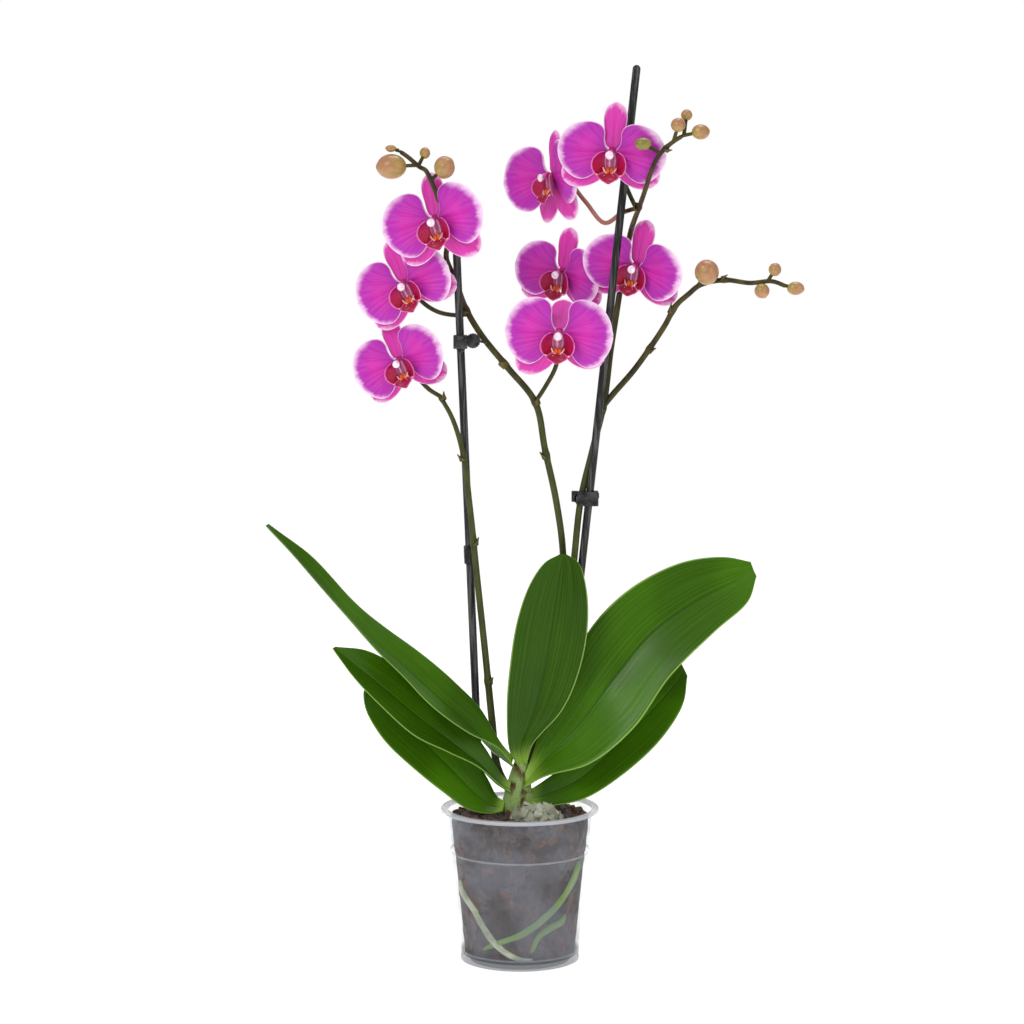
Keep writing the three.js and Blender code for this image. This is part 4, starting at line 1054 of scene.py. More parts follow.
# ---- pot, bark and roots ----
def wall_at(z):
    """The radius of the pot's wall on its outside."""
    if z >= POT["ring_z"]:
        return mix(POT["ring_out"], POT["lip"], (z - POT["ring_z"]) / (POT["height"] - POT["ring_z"]))
    share = (z - POT["foot_z"]) / (POT["ring_z"] - POT["foot_z"])
    return mix(POT["foot"] + 0.6, POT["ring_out"] - POT["ring_step"], share)


def inside_at(z):
    return wall_at(z) - POT["wall"]


def room_at(z):
    """The radius inside the wall, also for places below the line above the foot."""
    return inside_at(max(z, POT["foot_z"]))


def pot_outline():
    """Radii and heights round a section of the pot: its foot, its outside, its rim and its inside."""
    top, ring_z, foot, foot_z = POT["height"], POT["ring_z"], POT["foot"], POT["foot_z"]
    drop, rim, floor = top - POT["rim_drop"], POT["rim"], POT["floor_z"] + POT["floor_thick"]
    return [
        (POT["boss"], 0), (POT["boss"] + 2, POT["floor_z"]), (POT["foot_ring"] - 2, POT["floor_z"]),
        (POT["foot_ring"], 0), (foot - 0.8, 0), (foot - 0.2, 0.25), (foot, 0.8), (foot, foot_z - 0.6),
        (foot + 0.6, foot_z), *[(wall_at(z), z) for z in (18, 32, 48, 64, 78)],
        (wall_at(ring_z - 0.01), ring_z - 0.6), (wall_at(ring_z), ring_z), (wall_at(100), 100),
        (wall_at(drop) - 0.1, drop - 0.3), (wall_at(drop) + 0.3, drop), (rim - 0.6, drop),
        (rim - 0.1, drop + 0.2), (rim, drop + 0.7), (rim, top - 0.7), (rim - 0.2, top - 0.2),
        (rim - 0.7, top), (POT["rim_inner"] + 0.5, top), (POT["rim_inner"], top - 0.4),
        (inside_at(100) - 0.1, 100), (inside_at(ring_z) - 0.1, ring_z),
        *[(inside_at(z), z) for z in (64, 40, 20)], (inside_at(foot_z), foot_z),
        (inside_at(foot_z) - 1, floor), (POT["boss"] + 4, floor), (POT["boss"] + 1, POT["floor_thick"]),
    ]


class ORCHID_OT_pot(bpy.types.Operator):
    """Makes the clear pot with its rim, rings, foot and drain holes"""
    bl_idname = "orchid.pot"
    bl_label = "Pot"

    def execute(self, context):
        plastic = finish_named("Pot Plastic", pot_plastic)
        pot = mesh_object("orchid_pot", lathe(pot_outline(), sides=96), [plastic])
        drills = []
        for i in range(POT["holes"]):
            angle = math.radians((i + 0.5) * 360 / POT["holes"])
            centre = (math.cos(angle) * POT["hole_at"], math.sin(angle) * POT["hole_at"], 0)
            shaft = lathe([(POT["hole_radius"], -2), (POT["hole_radius"], 9)], sides=24)
            drills.append(shaft.placed(Matrix.Translation(centre)))
        drill = mesh_object("drain_drill", joined(drills), [])
        cut = pot.modifiers.new("Drain Holes", "BOOLEAN")
        cut.operation, cut.solver, cut.object = "DIFFERENCE", "EXACT", drill
        plain_mesh(pot)
        bpy.data.objects.remove(drill)
        keep_edges(pot.data)
        keep(pot, "pot", "pot")
        return {"FINISHED"}


def bark_core():
    """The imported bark: a plug just inside the wall with uneven sides and a mounded top."""
    side = [(room_at(z) - BARK_INSET, z) for z in np.linspace(6, BARK_TOP - 1, 34)]
    shoulder = inside_at(BARK_TOP) - BARK_INSET - 2
    mound = [(shoulder - r, BARK_TOP + 0.09 * r) for r in (0, 8, 16, 24, 32, 40)]
    under = [(8, 2.4), (POT["boss"] + 4.6, 5.2), (inside_at(8) - BARK_INSET - 2, 5.2)]
    core = lathe([*under, *side, *mound], sides=72)
    bumps = rough(core.points, 9.0) * 1.1
    radius = np.maximum(np.linalg.norm(core.points[:, :2], axis=1), 1)
    core.points[:, :2] *= (1 + np.where(core.points[:, 2] > 6, bumps, 0) / radius)[:, None]
    return core


def scattered(name, carrier, above, material, **inputs):
    """Chips scattered over the part of a shape that lies above a height."""
    carrier.faces = [face for face in carrier.faces if min(carrier.points[i][2] for i in face) > above]
    carrier.finishes = [0] * len(carrier.faces)
    chips = mesh_object(name, carrier, [material])
    return grown(chips, "Scatter Chips", chips_tree, material=material, **inputs)


def press_inside(obj, gap):
    """Moves the points of an object in, where they lie nearer than gap to the wall of the pot."""
    points = np.zeros(len(obj.data.vertices) * 3)
    obj.data.vertices.foreach_get("co", points)
    points = points.reshape(-1, 3) / MM
    points[:, 2] = np.maximum(points[:, 2], POT["floor_z"] + POT["floor_thick"] + 0.3)
    radius = np.maximum(np.linalg.norm(points[:, :2], axis=1), 1e-6)
    limit = np.array([room_at(z) for z in points[:, 2]]) - gap
    points[:, :2] *= np.minimum(1, limit / radius)[:, None]
    obj.data.vertices.foreach_set("co", (points * MM).ravel())
    obj.data.update()


class ORCHID_OT_bark(bpy.types.Operator):
    """Makes the bark mix: a packed core and the chips that show through the wall and on top"""
    bl_idname = "orchid.bark"
    bl_label = "Bark Mix"

    def execute(self, context):
        sizes = context.scene.orchid_sizes
        brown = finish_named("Bark Chips", bark_brown)
        core = mesh_object("bark_core", bark_core(), [brown])
        chips = scattered("bark_chips", bark_core(), 5.5, brown, chip_size=sizes.chip_size,
                          flatness=0.45, spacing=0.0045, density=60000.0, seed=5)
        press_inside(chips, CHIP_GAP)
        keep(core, "bark")
        keep(chips, "bark", "bark_mix")
        return {"FINISHED"}


def root_lines():
    """Each root's points, radii and how green it is: from the collar out and along the wall."""
    x, y, z = ROOT_COLLAR["at"]
    lines = []
    for stations, green in ROOTS:
        entry, high = math.radians(stations[0][0]), stations[0][1]
        path = [(x, y, z), (math.cos(entry) * 24, math.sin(entry) * 24, mix(z + 2, high, 0.35))]
        for turn, level in stations:
            angle = math.radians(turn)
            reach = room_at(level) - ROOT_GAP - ROOT_RADIUS
            path.append((math.cos(angle) * reach, math.sin(angle) * reach, level))
        t = np.linspace(0, 1, 90)
        points = even_curve(path, t)
        radii = along(ROOT_RADII, t) * (1 + 0.06 * rough(points, 7.0, high))
        radii[-3:] *= ROOT_TIP
        lines.append((points, radii, np.clip(green + 0.25 * rough(points, 16.0), 0, 1)))
    return lines


class ORCHID_OT_roots(bpy.types.Operator):
    """Makes the pale and green roots that run along the inside of the wall and the collar they leave"""
    bl_idname = "orchid.roots"
    bl_label = "Roots"

    def execute(self, context):
        skin = finish_named("Root Skin", root_skin)
        roots = path_object("roots_along_wall", root_lines())
        grown(roots, "Follow Path", stem_tree, ribs=8, rib_depth=0.02, material=skin)
        press_inside(roots, ROOT_GAP)
        keep(roots, "root", "roots")
        collar = mesh_object("root_collar", ball(ROOT_COLLAR["at"], ROOT_COLLAR["size"]), [skin])
        keep(collar, "root")
        return {"FINISHED"}


class ORCHID_OT_crumbs(bpy.types.Operator):
    """Makes the pale crumbs that lie on the bark beside the crown"""
    bl_idname = "orchid.crumbs"
    bl_label = "Pale Crumbs"

    def execute(self, context):
        white = finish_named("Pale Crumbs", crumb_white)
        size = [CHIP_PATCH[key] for key in ("across", "deep", "high")]
        heap = ball((*CHIP_PATCH["at"], BARK_TOP), size, rows=20, count=40)
        crumbs = scattered("pale_crumbs", heap, BARK_TOP, white, chip_size=0.0088, flatness=0.42,
                           spacing=0.0044, density=90000.0, seed=2)
        keep(crumbs, "chips", "pale_chips")
        return {"FINISHED"}


# ---- crown and leaves ----
def crown_shape():
    """The short stem inside its clasping leaf sheaths: each sheath stands out and ends in a slant."""
    t = np.linspace(0, 1, 60)
    angle = round_angles(48)
    radius = along(CROWN_RADII, t)[:, None] * np.ones(len(angle))
    flush = np.zeros_like(radius)
    for i, (turn, top) in enumerate(SHEATHS):
        slant = top + 0.09 * np.cos(angle - math.radians(turn))
        inside = ease(t[:, None], slant + 0.012, slant - 0.012)
        radius = radius * (1 + (0.035 + 0.01 * i) * inside)
        flush = np.maximum(flush, inside * ease(t[:, None], slant - 0.2, slant))
    radius = radius / 1.16 * (1 + 0.05 * np.cos(2 * angle))
    centres = even_curve(CROWN_PATH, t)
    return loft([ring(angle, r, z, (x, y)) for (x, y, z), r in zip(centres, radius)], flush=flush)


class ORCHID_OT_crown(bpy.types.Operator):
    """Makes the crown of leaf sheaths between the bark and the leaves"""
    bl_idname = "orchid.crown"
    bl_label = "Crown"

    def execute(self, context):
        crown = mesh_object("crown_sheaths", crown_shape(), [finish_named("Crown Green", crown_green)])
        keep(crown, "crown", "crown")
        return {"FINISHED"}


def leaf_shape(stations, thickness, seed, shade):
    """A strap leaf between two margins, folded along its rib, with a slight wave in its edges."""
    low, high, sags = ([station[k] for station in stations] for k in range(3))

    def place(u, v):
        a, b = curve(low, u), curve(high, u)
        heading = unit(np.gradient((a + b) / 2, axis=0))
        across = (b - a) / 2
        up = unit(np.cross(across, heading))
        up = np.where((up[..., 2] - up[..., 1] < 0)[..., None], -up, up)
        channel = along(sags, u) * (1.25 * (1 - np.sqrt(0.96 * v**2 + 0.04)))
        rib = 0.7 * np.exp(-((v / 0.07) ** 2)) * ease(u, 1, 0.9)
        wave = 0.9 * np.abs(v) ** 3 * np.sin(u * 15 + seed + v) * ease(u, 0.05, 0.3) * ease(u, 1, 0.85)
        return (a + b) / 2 + across * v[..., None] + up * (wave - (channel + rib))[..., None]

    def half(u, v):
        return thickness * (1 - 0.45 * np.abs(v) ** 2) * mix(1.25, 0.7, u)

    shape = blade(place, half, 72, 28, (0, -0.6, 1), rim=0.4)
    shape.values["shade"] = np.full(len(shape.points), float(shade))
    return shape


class ORCHID_OT_leaves(bpy.types.Operator):
    """Makes the six strap leaves"""
    bl_idname = "orchid.leaves"
    bl_label = "Leaves"

    def execute(self, context):
        green = finish_named("Leaf Green", leaf_green)
        half = context.scene.orchid_sizes.leaf_thickness / 2 / MM
        for seed, (name, stations) in enumerate(LEAVES.items()):
            shape = leaf_shape(stations, half, seed, LEAF_SHADE.get(name, 0))
            leaf = mesh_object(f"{name}_blade", shape, [green])
            keep(leaf, "leaf", name)
        return {"FINISHED"}


# ---- blooms ----
def bloom_place(name):
    """From a bloom's own frame, x to its right, y to its top and z out of its face, to the part's."""
    bloom = BLOOMS[name]
    upright = Matrix(((1, 0, 0, 0), (0, 0, -1, 0), (0, 1, 0, 0), (0, 0, 0, 1)))
    yaw, pitch, roll = (math.radians(angle) for angle in bloom["turns"])
    turn, tip = Matrix.Rotation(-yaw, 4, "Z"), Matrix.Rotation(pitch, 4, "X")
    spin, size = Matrix.Rotation(roll, 4, "Z"), Matrix.Scale(bloom["size"], 4)
    return Matrix.Translation(bloom["at"]) @ turn @ upright @ tip @ spin @ size


def in_bloom(name, point):
    return tuple(bloom_place(name) @ Vector(point))


def oval_margins(first, reach, rise, turn):
    """The two margins of a sepal: an ellipse from its foot, turned by degrees."""
    angle = math.radians(turn)
    margins = []
    for side in (-1, 1):
        a = np.linspace(0.3, math.pi - 0.12, 14)
        x, y = first + reach * (1 - np.cos(a)), side * rise * np.sin(a)
        turned = (x * math.cos(angle) - y * math.sin(angle), x * math.sin(angle) + y * math.cos(angle))
        margins.append(np.stack(turned, axis=1))
    return margins


def tepal(lower, upper, form, slope, seed, flip=1):
    """A tepal between two margins in the plane of the bloom. Its far parts curl back, its rim
    ripples, and slope(x, y) adds the way it leans. Its map fans out from the bloom's middle."""
    low, high = (np.column_stack([margin, np.zeros(len(margin))]) for margin in (lower, upper))
    t = np.linspace(0, 1, 160)
    rim = np.vstack([curve(low, t), curve(high, t)[::-1]])[:, :2]
    tip = (np.asarray(lower[-1]) + np.asarray(upper[-1])) / 2
    axis = math.atan2(tip[1], tip[0])

    def flat(u, v):
        share = ((v + 1) / 2)[..., None]
        return mix(curve(low, u), curve(high, u), share)[..., :2]

    def margin(u, v):
        """Distance to the nearest place on the rim."""
        spots = flat(u, v).reshape(-1, 1, 2)
        return np.linalg.norm(spots - rim[None], axis=2).min(axis=1).reshape(u.shape)

    def fan(u, v):
        """The share of the way from the bloom's middle to the rim, and the bearing: 0.5 is the rib."""
        x, y = np.moveaxis(flat(u, v), -1, 0)
        out = np.hypot(x, y)
        bearing = np.arctan2(y, x + 2 * np.cos(axis)) - axis
        return out / (out + margin(u, v)), 0.5 - bearing / math.radians(200)

    def place(u, v):
        x, y = np.moveaxis(flat(u, v), -1, 0)
        share, bearing = fan(u, v)
        out = np.hypot(x, y * 0.6) / form["reach"]
        small_waves = 0.4 * share * np.sin(bearing * 37 + seed * 2)
        wave = form["ripple"] * share**2 * (np.sin(bearing * 15 + seed) + small_waves)
        crease = 0.6 * np.exp(-(((bearing - 0.5) / 0.03) ** 2)) * np.sin(np.pi * share) ** 0.5
        dome = 1.4 * np.sin(np.pi * share)
        curled = 1.2 * ease(share, 0.86, 1.0) ** 2
        z = form["depth"] - form["curl"] * out**3 + slope(x, y) + wave + dome - crease - curled
        return np.stack([flip * x, y, z], axis=-1)

    def half(u, v):
        return mix(0.42, 0.28, u)

    shape = blade(place, half, *form["grid"], (0, 0, 1), form["finish"], rim=0.5, chart=fan)
    u, v = blade_grid(*form["grid"])
    x, y = np.moveaxis(flat(u, v), -1, 0)
    far = ease(np.hypot(x, y) / form["reach"], 0.66, 0.84)
    for name, value in (("margin", margin(u, v)), ("far", far)):
        shape.values[name] = np.tile(value.ravel(), 2)
    return shape


def bloom_shape(name):
    """Two petals, two side sepals, the upper sepal and the base that joins them at the back."""
    bloom = BLOOMS[name]
    seed = bloom["at"][0] * 0.37 + bloom["at"][2] * 0.11
    lower, upper = (
        [(x, y * bloom["rise"]) for x, y in margin] for margin in (PETAL_LOWER, PETAL_UPPER))
    lean = math.radians(bloom["lean"])
    shapes = []
    for flip, degrees, down, reach in zip((-1, 1), bloom["sweep"], bloom["down"], SIDE_SEPAL["reach"]):
        sweep = math.tan(math.radians(degrees))
        margins = oval_margins(SEPAL_FOOT, reach, SIDE_SEPAL["rise"], -down)
        side_form = {**SIDE_FORM, "reach": SEPAL_FOOT + 2 * reach}
        shapes.append(tepal(lower, upper, PETAL_FORM, lambda x, y: (x - 3) * sweep, seed + flip, flip))
        shapes.append(tepal(*margins, side_form, lambda x, y: 0 * x, seed - flip, flip))
    margins = (
        [(side * half, SEPAL_FOOT + (y - SEPAL_FOOT) * math.cos(lean)) for half, y in UPPER_SEPAL]
        for side in (1, -1))
    shapes.append(tepal(*margins, UPPER_FORM, lambda x, y: -(y - SEPAL_FOOT) * math.tan(lean), seed))
    t = np.linspace(0, 1, 10)
    rings = [ring(round_angles(20), r, mix(-4.5, 0.6, s)) for r, s in zip(along(BASE_RADII, t), t)]
    base = loft(rings, finish=1, margin=np.full(10, 9.0), front=np.ones(10))
    return joined([*shapes, base]).placed(bloom_place(name))


class ORCHID_OT_blooms(bpy.types.Operator):
    """Makes the petals and sepals of the eight open blooms"""
    bl_idname = "orchid.blooms"
    bl_label = "Blooms"

    def execute(self, context):
        finishes = [
            finish_named("Petal Magenta", petal_magenta), finish_named("Sepal Pink", sepal_pink)]
        for name in BLOOMS:
            bloom = mesh_object(f"bloom_{name}_tepals", bloom_shape(name), finishes)
            keep(bloom, "tepal", f"bloom_{name}")
        return {"FINISHED"}


def painted(like, base, *layers):
    """A colour at every value of an array, with layers over it, each a colour and its share."""
    result = np.broadcast_to(np.asarray(base, float), (*like.shape, 4))
    for colour, share in layers:
        result = result + (np.asarray(colour) - result) * np.asarray(share)[..., None]
    return result


CRIMSON, MAGENTA, DARK_CRIMSON = srgb(176, 0, 62), srgb(184, 0, 110), srgb(96, 0, 40)
LIP_PINK, LIP_WHITE, CREAM = srgb(232, 120, 200), srgb(252, 236, 248), srgb(244, 186, 168)
LIP_OUTSIDE = srgb(206, 110, 158)
CALLUS_ORANGE, CALLUS_RED = srgb(226, 108, 34), srgb(188, 24, 26)
MAUVE, MAUVE_PALE = srgb(166, 74, 122), srgb(226, 168, 196)


def even_paint(colour):
    return lambda t, *_: painted(t, colour)


def even_half(thickness):
    """The half thickness of a blade that is as thick everywhere."""
    return lambda u, v: np.full(u.shape, thickness / 2)


def side_lobe(flip):
    """A raised side lobe: a round shell, crimson inside, with a bright pink edge."""
    def place(u, v):
        angle = mix(-1.45, 1.45, u)
        wide = 1 + 4 * np.cos(angle)
        out = 3.6 + (v + 1) * (1.2 + 3.6 * np.cos(angle)) - 1.3 * (1 - v**2)
        return np.stack([flip * (3 + wide + v * wide), -7.6 + 9 * np.sin(angle), out], axis=-1)

    def paint(u, v):
        edge = np.maximum(ease(v, 0.84, 0.97), ease(np.abs(u - 0.5), 0.455, 0.495))
        stripes = (0.5 + 0.5 * np.sin(v * 13 + 3 * u)) * 0.3 * ease(v, 0.5, -0.9)
        return painted(u, CRIMSON, (MAGENTA, ease(u, 0.4, 0.95)), (MAUVE, ease(v, -0.5, -0.95)),
                       (DARK_CRIMSON, stripes), (LIP_PINK, edge))

    return blade(place, even_half(0.8), 40, 26, (0, 0, 1), paint=paint, back=LIP_OUTSIDE)


def front_lobe():
    """The lip's front: narrow at its foot under the crest, then flared, with a blunt point."""
    def place(u, v):
        x = v * along(FRONT_LOBE_WIDTHS, u)
        y = -13.2 - 8.4 * u + 1.1 * v**2
        return np.stack([x, y, 7.2 + 4.4 * np.sin(u * 2.3) + 1.6 * v**2], axis=-1)

    def paint(u, v):
        # The pink along the lobe's edges and point is a painted highlight for the pink glints on its
        # rim.
        edge = np.maximum(ease(np.abs(v), 0.86, 1.0), ease(u, 0.93, 1.0))
        stripes = (0.5 + 0.5 * np.cos(v * 20)) * 0.4
        return painted(u, CRIMSON, (CALLUS_ORANGE, ease(u, 0.16, 0.0)), (DARK_CRIMSON, stripes),
                       (LIP_PINK, edge * 0.8))

    return blade(place, even_half(0.9), 30, 28, (0, 0, 1), paint=paint)


def crest():
    """The orange crest at the foot of the front lobe, striped red, with cream ridges beside it."""
    def paint(t, a):
        stripes = ease(np.sin(a * 8 + t * 4), 0.0, 0.7)
        return painted(t, CALLUS_ORANGE, (CALLUS_RED, stripes * 0.75))

    parts = [ball((x, -12.4, 6.9), (1.7, 2.9, 2.5), axis=(0, 1, 0), paint=paint) for x in (-1.4, 1.4)]
    for side in (-1, 1):
        for ridge in CREST_RIDGES:
            path = [(side * x, y, z) for x, y, z in ridge]
            parts.append(tube(path, CREST_RIDGE_RADII, sides=10, steps=14, paint=even_paint(CREAM)))
    return joined(parts)


def column():
    """The column that leans out over the lip, with the white cap on its end."""
    def paint(t):
        return painted(t, MAGENTA, (LIP_PINK, ease(t, 0.3, 0.9)))

    body = tube(COLUMN_PATH, COLUMN_RADII, sides=20, steps=16, paint=paint)
    cap = ball((0, -0.4, 11.8), (3.1, 3.1, 2.2), paint=even_paint(LIP_WHITE))
    return joined([body, cap])


def lip_shape(name):
    """The lip and column of a bloom."""
    def paint(t, a):
        stripes = ease(np.cos(a * 7), 0.3, 0.9)
        return painted(t, MAUVE, (MAUVE_PALE, stripes * 0.8), (CALLUS_ORANGE, ease(t, 0.3, 0.1)))

    foot = ball((0, -5.4, 3.9), (4.8, 8.2, 2.6), rows=20, count=48, axis=(0, 1, 0), paint=paint)
    parts = [foot, column(), side_lobe(1), side_lobe(-1), front_lobe(), crest()]
    return joined(parts).placed(bloom_place(name))


class ORCHID_OT_lips(bpy.types.Operator):
    """Makes the lip and column of each bloom"""
    bl_idname = "orchid.lips"
    bl_label = "Lips and Columns"

    def execute(self, context):
        paint = finish_named("Lip Crimson", lip_paint)
        for name in BLOOMS:
            lip = mesh_object(f"lip_{name}_parts", lip_shape(name), [paint])
            keep(lip, "lip", f"lip_{name}")
        return {"FINISHED"}


# ---- spikes and buds ----
def stem_path(name):
    if name != "spike_middle":
        return PATHS[name]
    passing = [in_bloom("left_top", p) for p in PATHS["past_bloom"]]
    return [*PATHS["spike_middle"], *passing, *PATHS["middle_end"]]


def nearest_on(name, target):
    """The place and heading on a stem nearest to a given place."""
    points = even_curve(stem_path(name), np.linspace(0, 1, 600))
    best = int(np.argmin(np.linalg.norm(points - np.asarray(target, float), axis=1)))
    heading = unit(np.gradient(points, axis=0))[best]
    return points[best], heading


def stalk_ends(bud):
    """Where a bud's stalk leaves its stem and where it meets the bud."""
    stem, near = BUD_STALKS[bud]
    root, _ = nearest_on(stem, near)
    at, size = (np.asarray(BUDS[bud][key], float) for key in ("at", "size"))
    away = unit(root - at)
    return root, at + away * 0.9 / np.linalg.norm(away / size)


def stem_lines(name):
    """The stem, its pedicels and its bud stalks, with swellings at the nodes."""
    path = stem_path(name)
    t = np.linspace(0, 1, 18 * len(path))
    points = even_curve(path, t)
    radii = along(BRANCH_RADII if name == "branch" else SPIKE_RADII, t)
    for near, _, length in BRACTS[name]:
        place, _ = nearest_on(name, near)
        away = np.linalg.norm(points - place, axis=1) / (length * 0.42)
        radii = radii + 0.55 * np.exp(-(away**2))
    radii[-2:] *= (0.8, 0.4)
    height = ease(points[:, 2], 250, 560)
    lines = [(points, radii, 0.1 + 0.5 * height + 0.12 * rough(points, 40.0))]
    for bloom, near, *through in PEDICELS.get(name, []):
        root, _ = nearest_on(name, near)
        way = [root, *through, in_bloom(bloom, (0, -1.5, -11)), in_bloom(bloom, (0, 0, -4.4))]
        s = np.linspace(0, 1, 40)
        pinkness = PINK_PEDICEL if bloom == "right_back" else COMMON_PEDICEL
        widened = PEDICEL_RADIUS * (1 + 0.25 * ease(s, 0.8, 1))
        lines.append((even_curve(way, s), widened, pinkness * ease(s, -0.2, 0.2)))
    for bud, (stem, _) in BUD_STALKS.items():
        if stem == name:
            s = np.linspace(0, 1, 10)
            root, end = stalk_ends(bud)
            way = root + (end - root) * s[:, None]
            lines.append((way, along(STALK_RADII, s), np.full(10, BUD_STALK)))
    return lines


def bract_shape(name, near, lean, length):
    """A small clasping scale whose point stands off the stem."""
    place, heading = nearest_on(name, near)
    out = np.asarray(lean, float)
    out = unit(out - heading * np.dot(out, heading))
    side = np.cross(heading, out)
    thick = 2.1 if name == "branch" else 2.6

    def surface(u, v):
        wrap = v * mix(1.9, 0.35, u)
        reach = (thick + 0.7 + 1.1 * u**1.6)[..., None]
        ahead = (length * mix(-0.4, 0.5, u) * (1 - 0.12 * np.abs(v)))[..., None]
        outward = np.cos(wrap)[..., None] * out + np.sin(wrap)[..., None] * side
        return place + heading * ahead + outward * reach

    return blade(surface, even_half(0.6), 14, 16, out)


class ORCHID_OT_spikes(bpy.types.Operator):
    """Makes the three flower spikes with the branch, pedicels, bud stalks and bracts"""
    bl_idname = "orchid.spikes"
    bl_label = "Flower Spikes"

    def execute(self, context):
        olive, tan = finish_named("Stem Olive", stem_olive), finish_named("Bract Tan", bract_tan)
        for name in ("spike_left", "spike_middle", "spike_right"):
            stems = [name, "branch"] if name == "spike_right" else [name]
            spike = path_object(f"{name}_stems", [line for stem in stems for line in stem_lines(stem)])
            grown(spike, "Follow Path", stem_tree, ribs=7, rib_depth=0.015, material=olive)
            keep(spike, "spike", name)
            scales = [bract_shape(stem, *entry) for stem in stems for entry in BRACTS[stem]]
            bracts = mesh_object(f"{name}_bracts", joined(scales), [tan])
            keep(bracts, "spike")
        return {"FINISHED"}


BUD_TAN, BUD_PINK = srgb(172, 126, 84), srgb(180, 108, 98)
BUD_YELLOW, BUD_GREEN = srgb(160, 146, 62), srgb(124, 116, 48)


def bud_shape(name):
    """A bud: an egg with three shallow seams that meet at its blunt tip."""
    bud = BUDS[name]
    root, _ = nearest_on(*BUD_STALKS[name])
    axis = np.asarray(bud["at"], float) - root
    green = name == "right_tip_green"

    def swell(t, a):
        seam = np.cos(1.5 * a) ** 2
        groove = 0.05 * np.exp(-seam / 0.012) * np.sin(math.pi * t)
        return 1 - groove + 0.05 * ease(t, 0.85, 1.0)

    def paint(t, a):
        seam = np.exp(-(np.cos(1.5 * a) ** 2) / 0.06)
        flush = 0 * t if green else (0.5 + 0.5 * np.sin(2 * a + 1)) * ease(t, 0.3, 0.9) * 0.7
        return painted(t, BUD_GREEN if green else BUD_TAN, (BUD_YELLOW, ease(t, 0.65, 0.0) * 0.85),
                       (BUD_PINK, flush), (BUD_YELLOW, seam * 0.6))

    return ball(bud["at"], bud["size"], rows=28, count=48, axis=axis, swell=swell, paint=paint)


class ORCHID_OT_buds(bpy.types.Operator):
    """Makes the twelve buds"""
    bl_idname = "orchid.buds"
    bl_label = "Buds"

    def execute(self, context):
        skin = finish_named("Bud Skin", bud_skin)
        for name in BUDS:
            bud = mesh_object(f"bud_{name}_skin", bud_shape(name), [skin])
            keep(bud, "bud", f"bud_{name}")
        return {"FINISHED"}


# ---- stakes and clips ----
def stake_at(name, z):
    foot, top = (np.asarray(end, float) for end in STAKES[name])
    return foot + (top - foot) * (z - foot[2]) / (top[2] - foot[2])


def stake_line(name):
    """A stake's points, its radii with rounded ends and an even tone."""
    foot, top = (np.asarray(end) for end in STAKES[name])
    s = np.concatenate([[0, 0.002, 0.004], np.linspace(0.01, 0.99, 40), [0.996, 0.998, 1]])
    from_end = np.minimum(s, 1 - s) * 600
    rounded = 1 - (1 - np.clip(from_end / 2.4, 0, 1)) ** 2
    return foot + (top - foot) * s[:, None], STAKE_RADIUS * np.sqrt(np.clip(rounded, 0.12, 1)), 0 * s


class ORCHID_OT_stakes(bpy.types.Operator):
    """Makes the two ribbed support stakes"""
    bl_idname = "orchid.stakes"
    bl_label = "Stakes"

    def execute(self, context):
        grey = finish_named("Stake Grey", stake_grey)
        for name in STAKES:
            stake = path_object(f"{name}_rod", [stake_line(name)])
            grown(stake, "Follow Path", stem_tree, ribs=9, rib_depth=0.13, material=grey)
            keep(stake, "stake", name)
        return {"FINISHED"}


def block(centre, sizes, turn=0.0):
    """A box with its edges in place for a bevel, turned round Y by degrees."""
    x, y, z = (side / 2 for side in sizes)
    corners = [(sx * x, sy * y, sz * z) for sx in (-1, 1) for sy in (-1, 1) for sz in (-1, 1)]
    faces = [(0, 1, 3, 2), (4, 6, 7, 5), (0, 4, 5, 1), (2, 3, 7, 6), (0, 2, 6, 4), (1, 5, 7, 3)]
    place = Matrix.Translation(tuple(centre)) @ Matrix.Rotation(math.radians(turn), 4, "Y")
    return Shape(corners, faces).placed(place)


def ribbed_wheel(centre, radius, depth):
    """A round knob with ribs round its side and a dished face to the front."""
    angle = round_angles(WHEEL_RIBS * 4)
    ribbed = radius - 0.5 * (0.5 + 0.5 * np.cos(angle * WHEEL_RIBS)) ** 2
    front = [(share, -z) for share, z in reversed(WHEEL_SECTION)]
    rings = [
        ring(angle, ribbed if share > 0.95 else radius * share, z * depth)
        for share, z in [*front, *WHEEL_SECTION]
    ]
    return loft(rings).placed(Matrix.Translation(tuple(centre)) @ Matrix.Rotation(math.pi / 2, 4, "X"))


def clip_object(name, blocks, round_parts):
    """A clip: blocks with rounded edges and parts that are round already."""
    black = finish_named("Clip Black", clip_black)
    body = mesh_object(f"{name}_jaws", joined(blocks), [black])
    rounding = body.modifiers.new("Rounded Edges", "BEVEL")
    rounding.width, rounding.segments, rounding.limit_method = 0.0007, 3, "ANGLE"
    plain_mesh(body)
    keep_edges(body.data)
    keep(body, "clip", name)
    knobs = mesh_object(f"{name}_knob", joined(round_parts), [black], edged=True)
    keep(knobs, "clip")


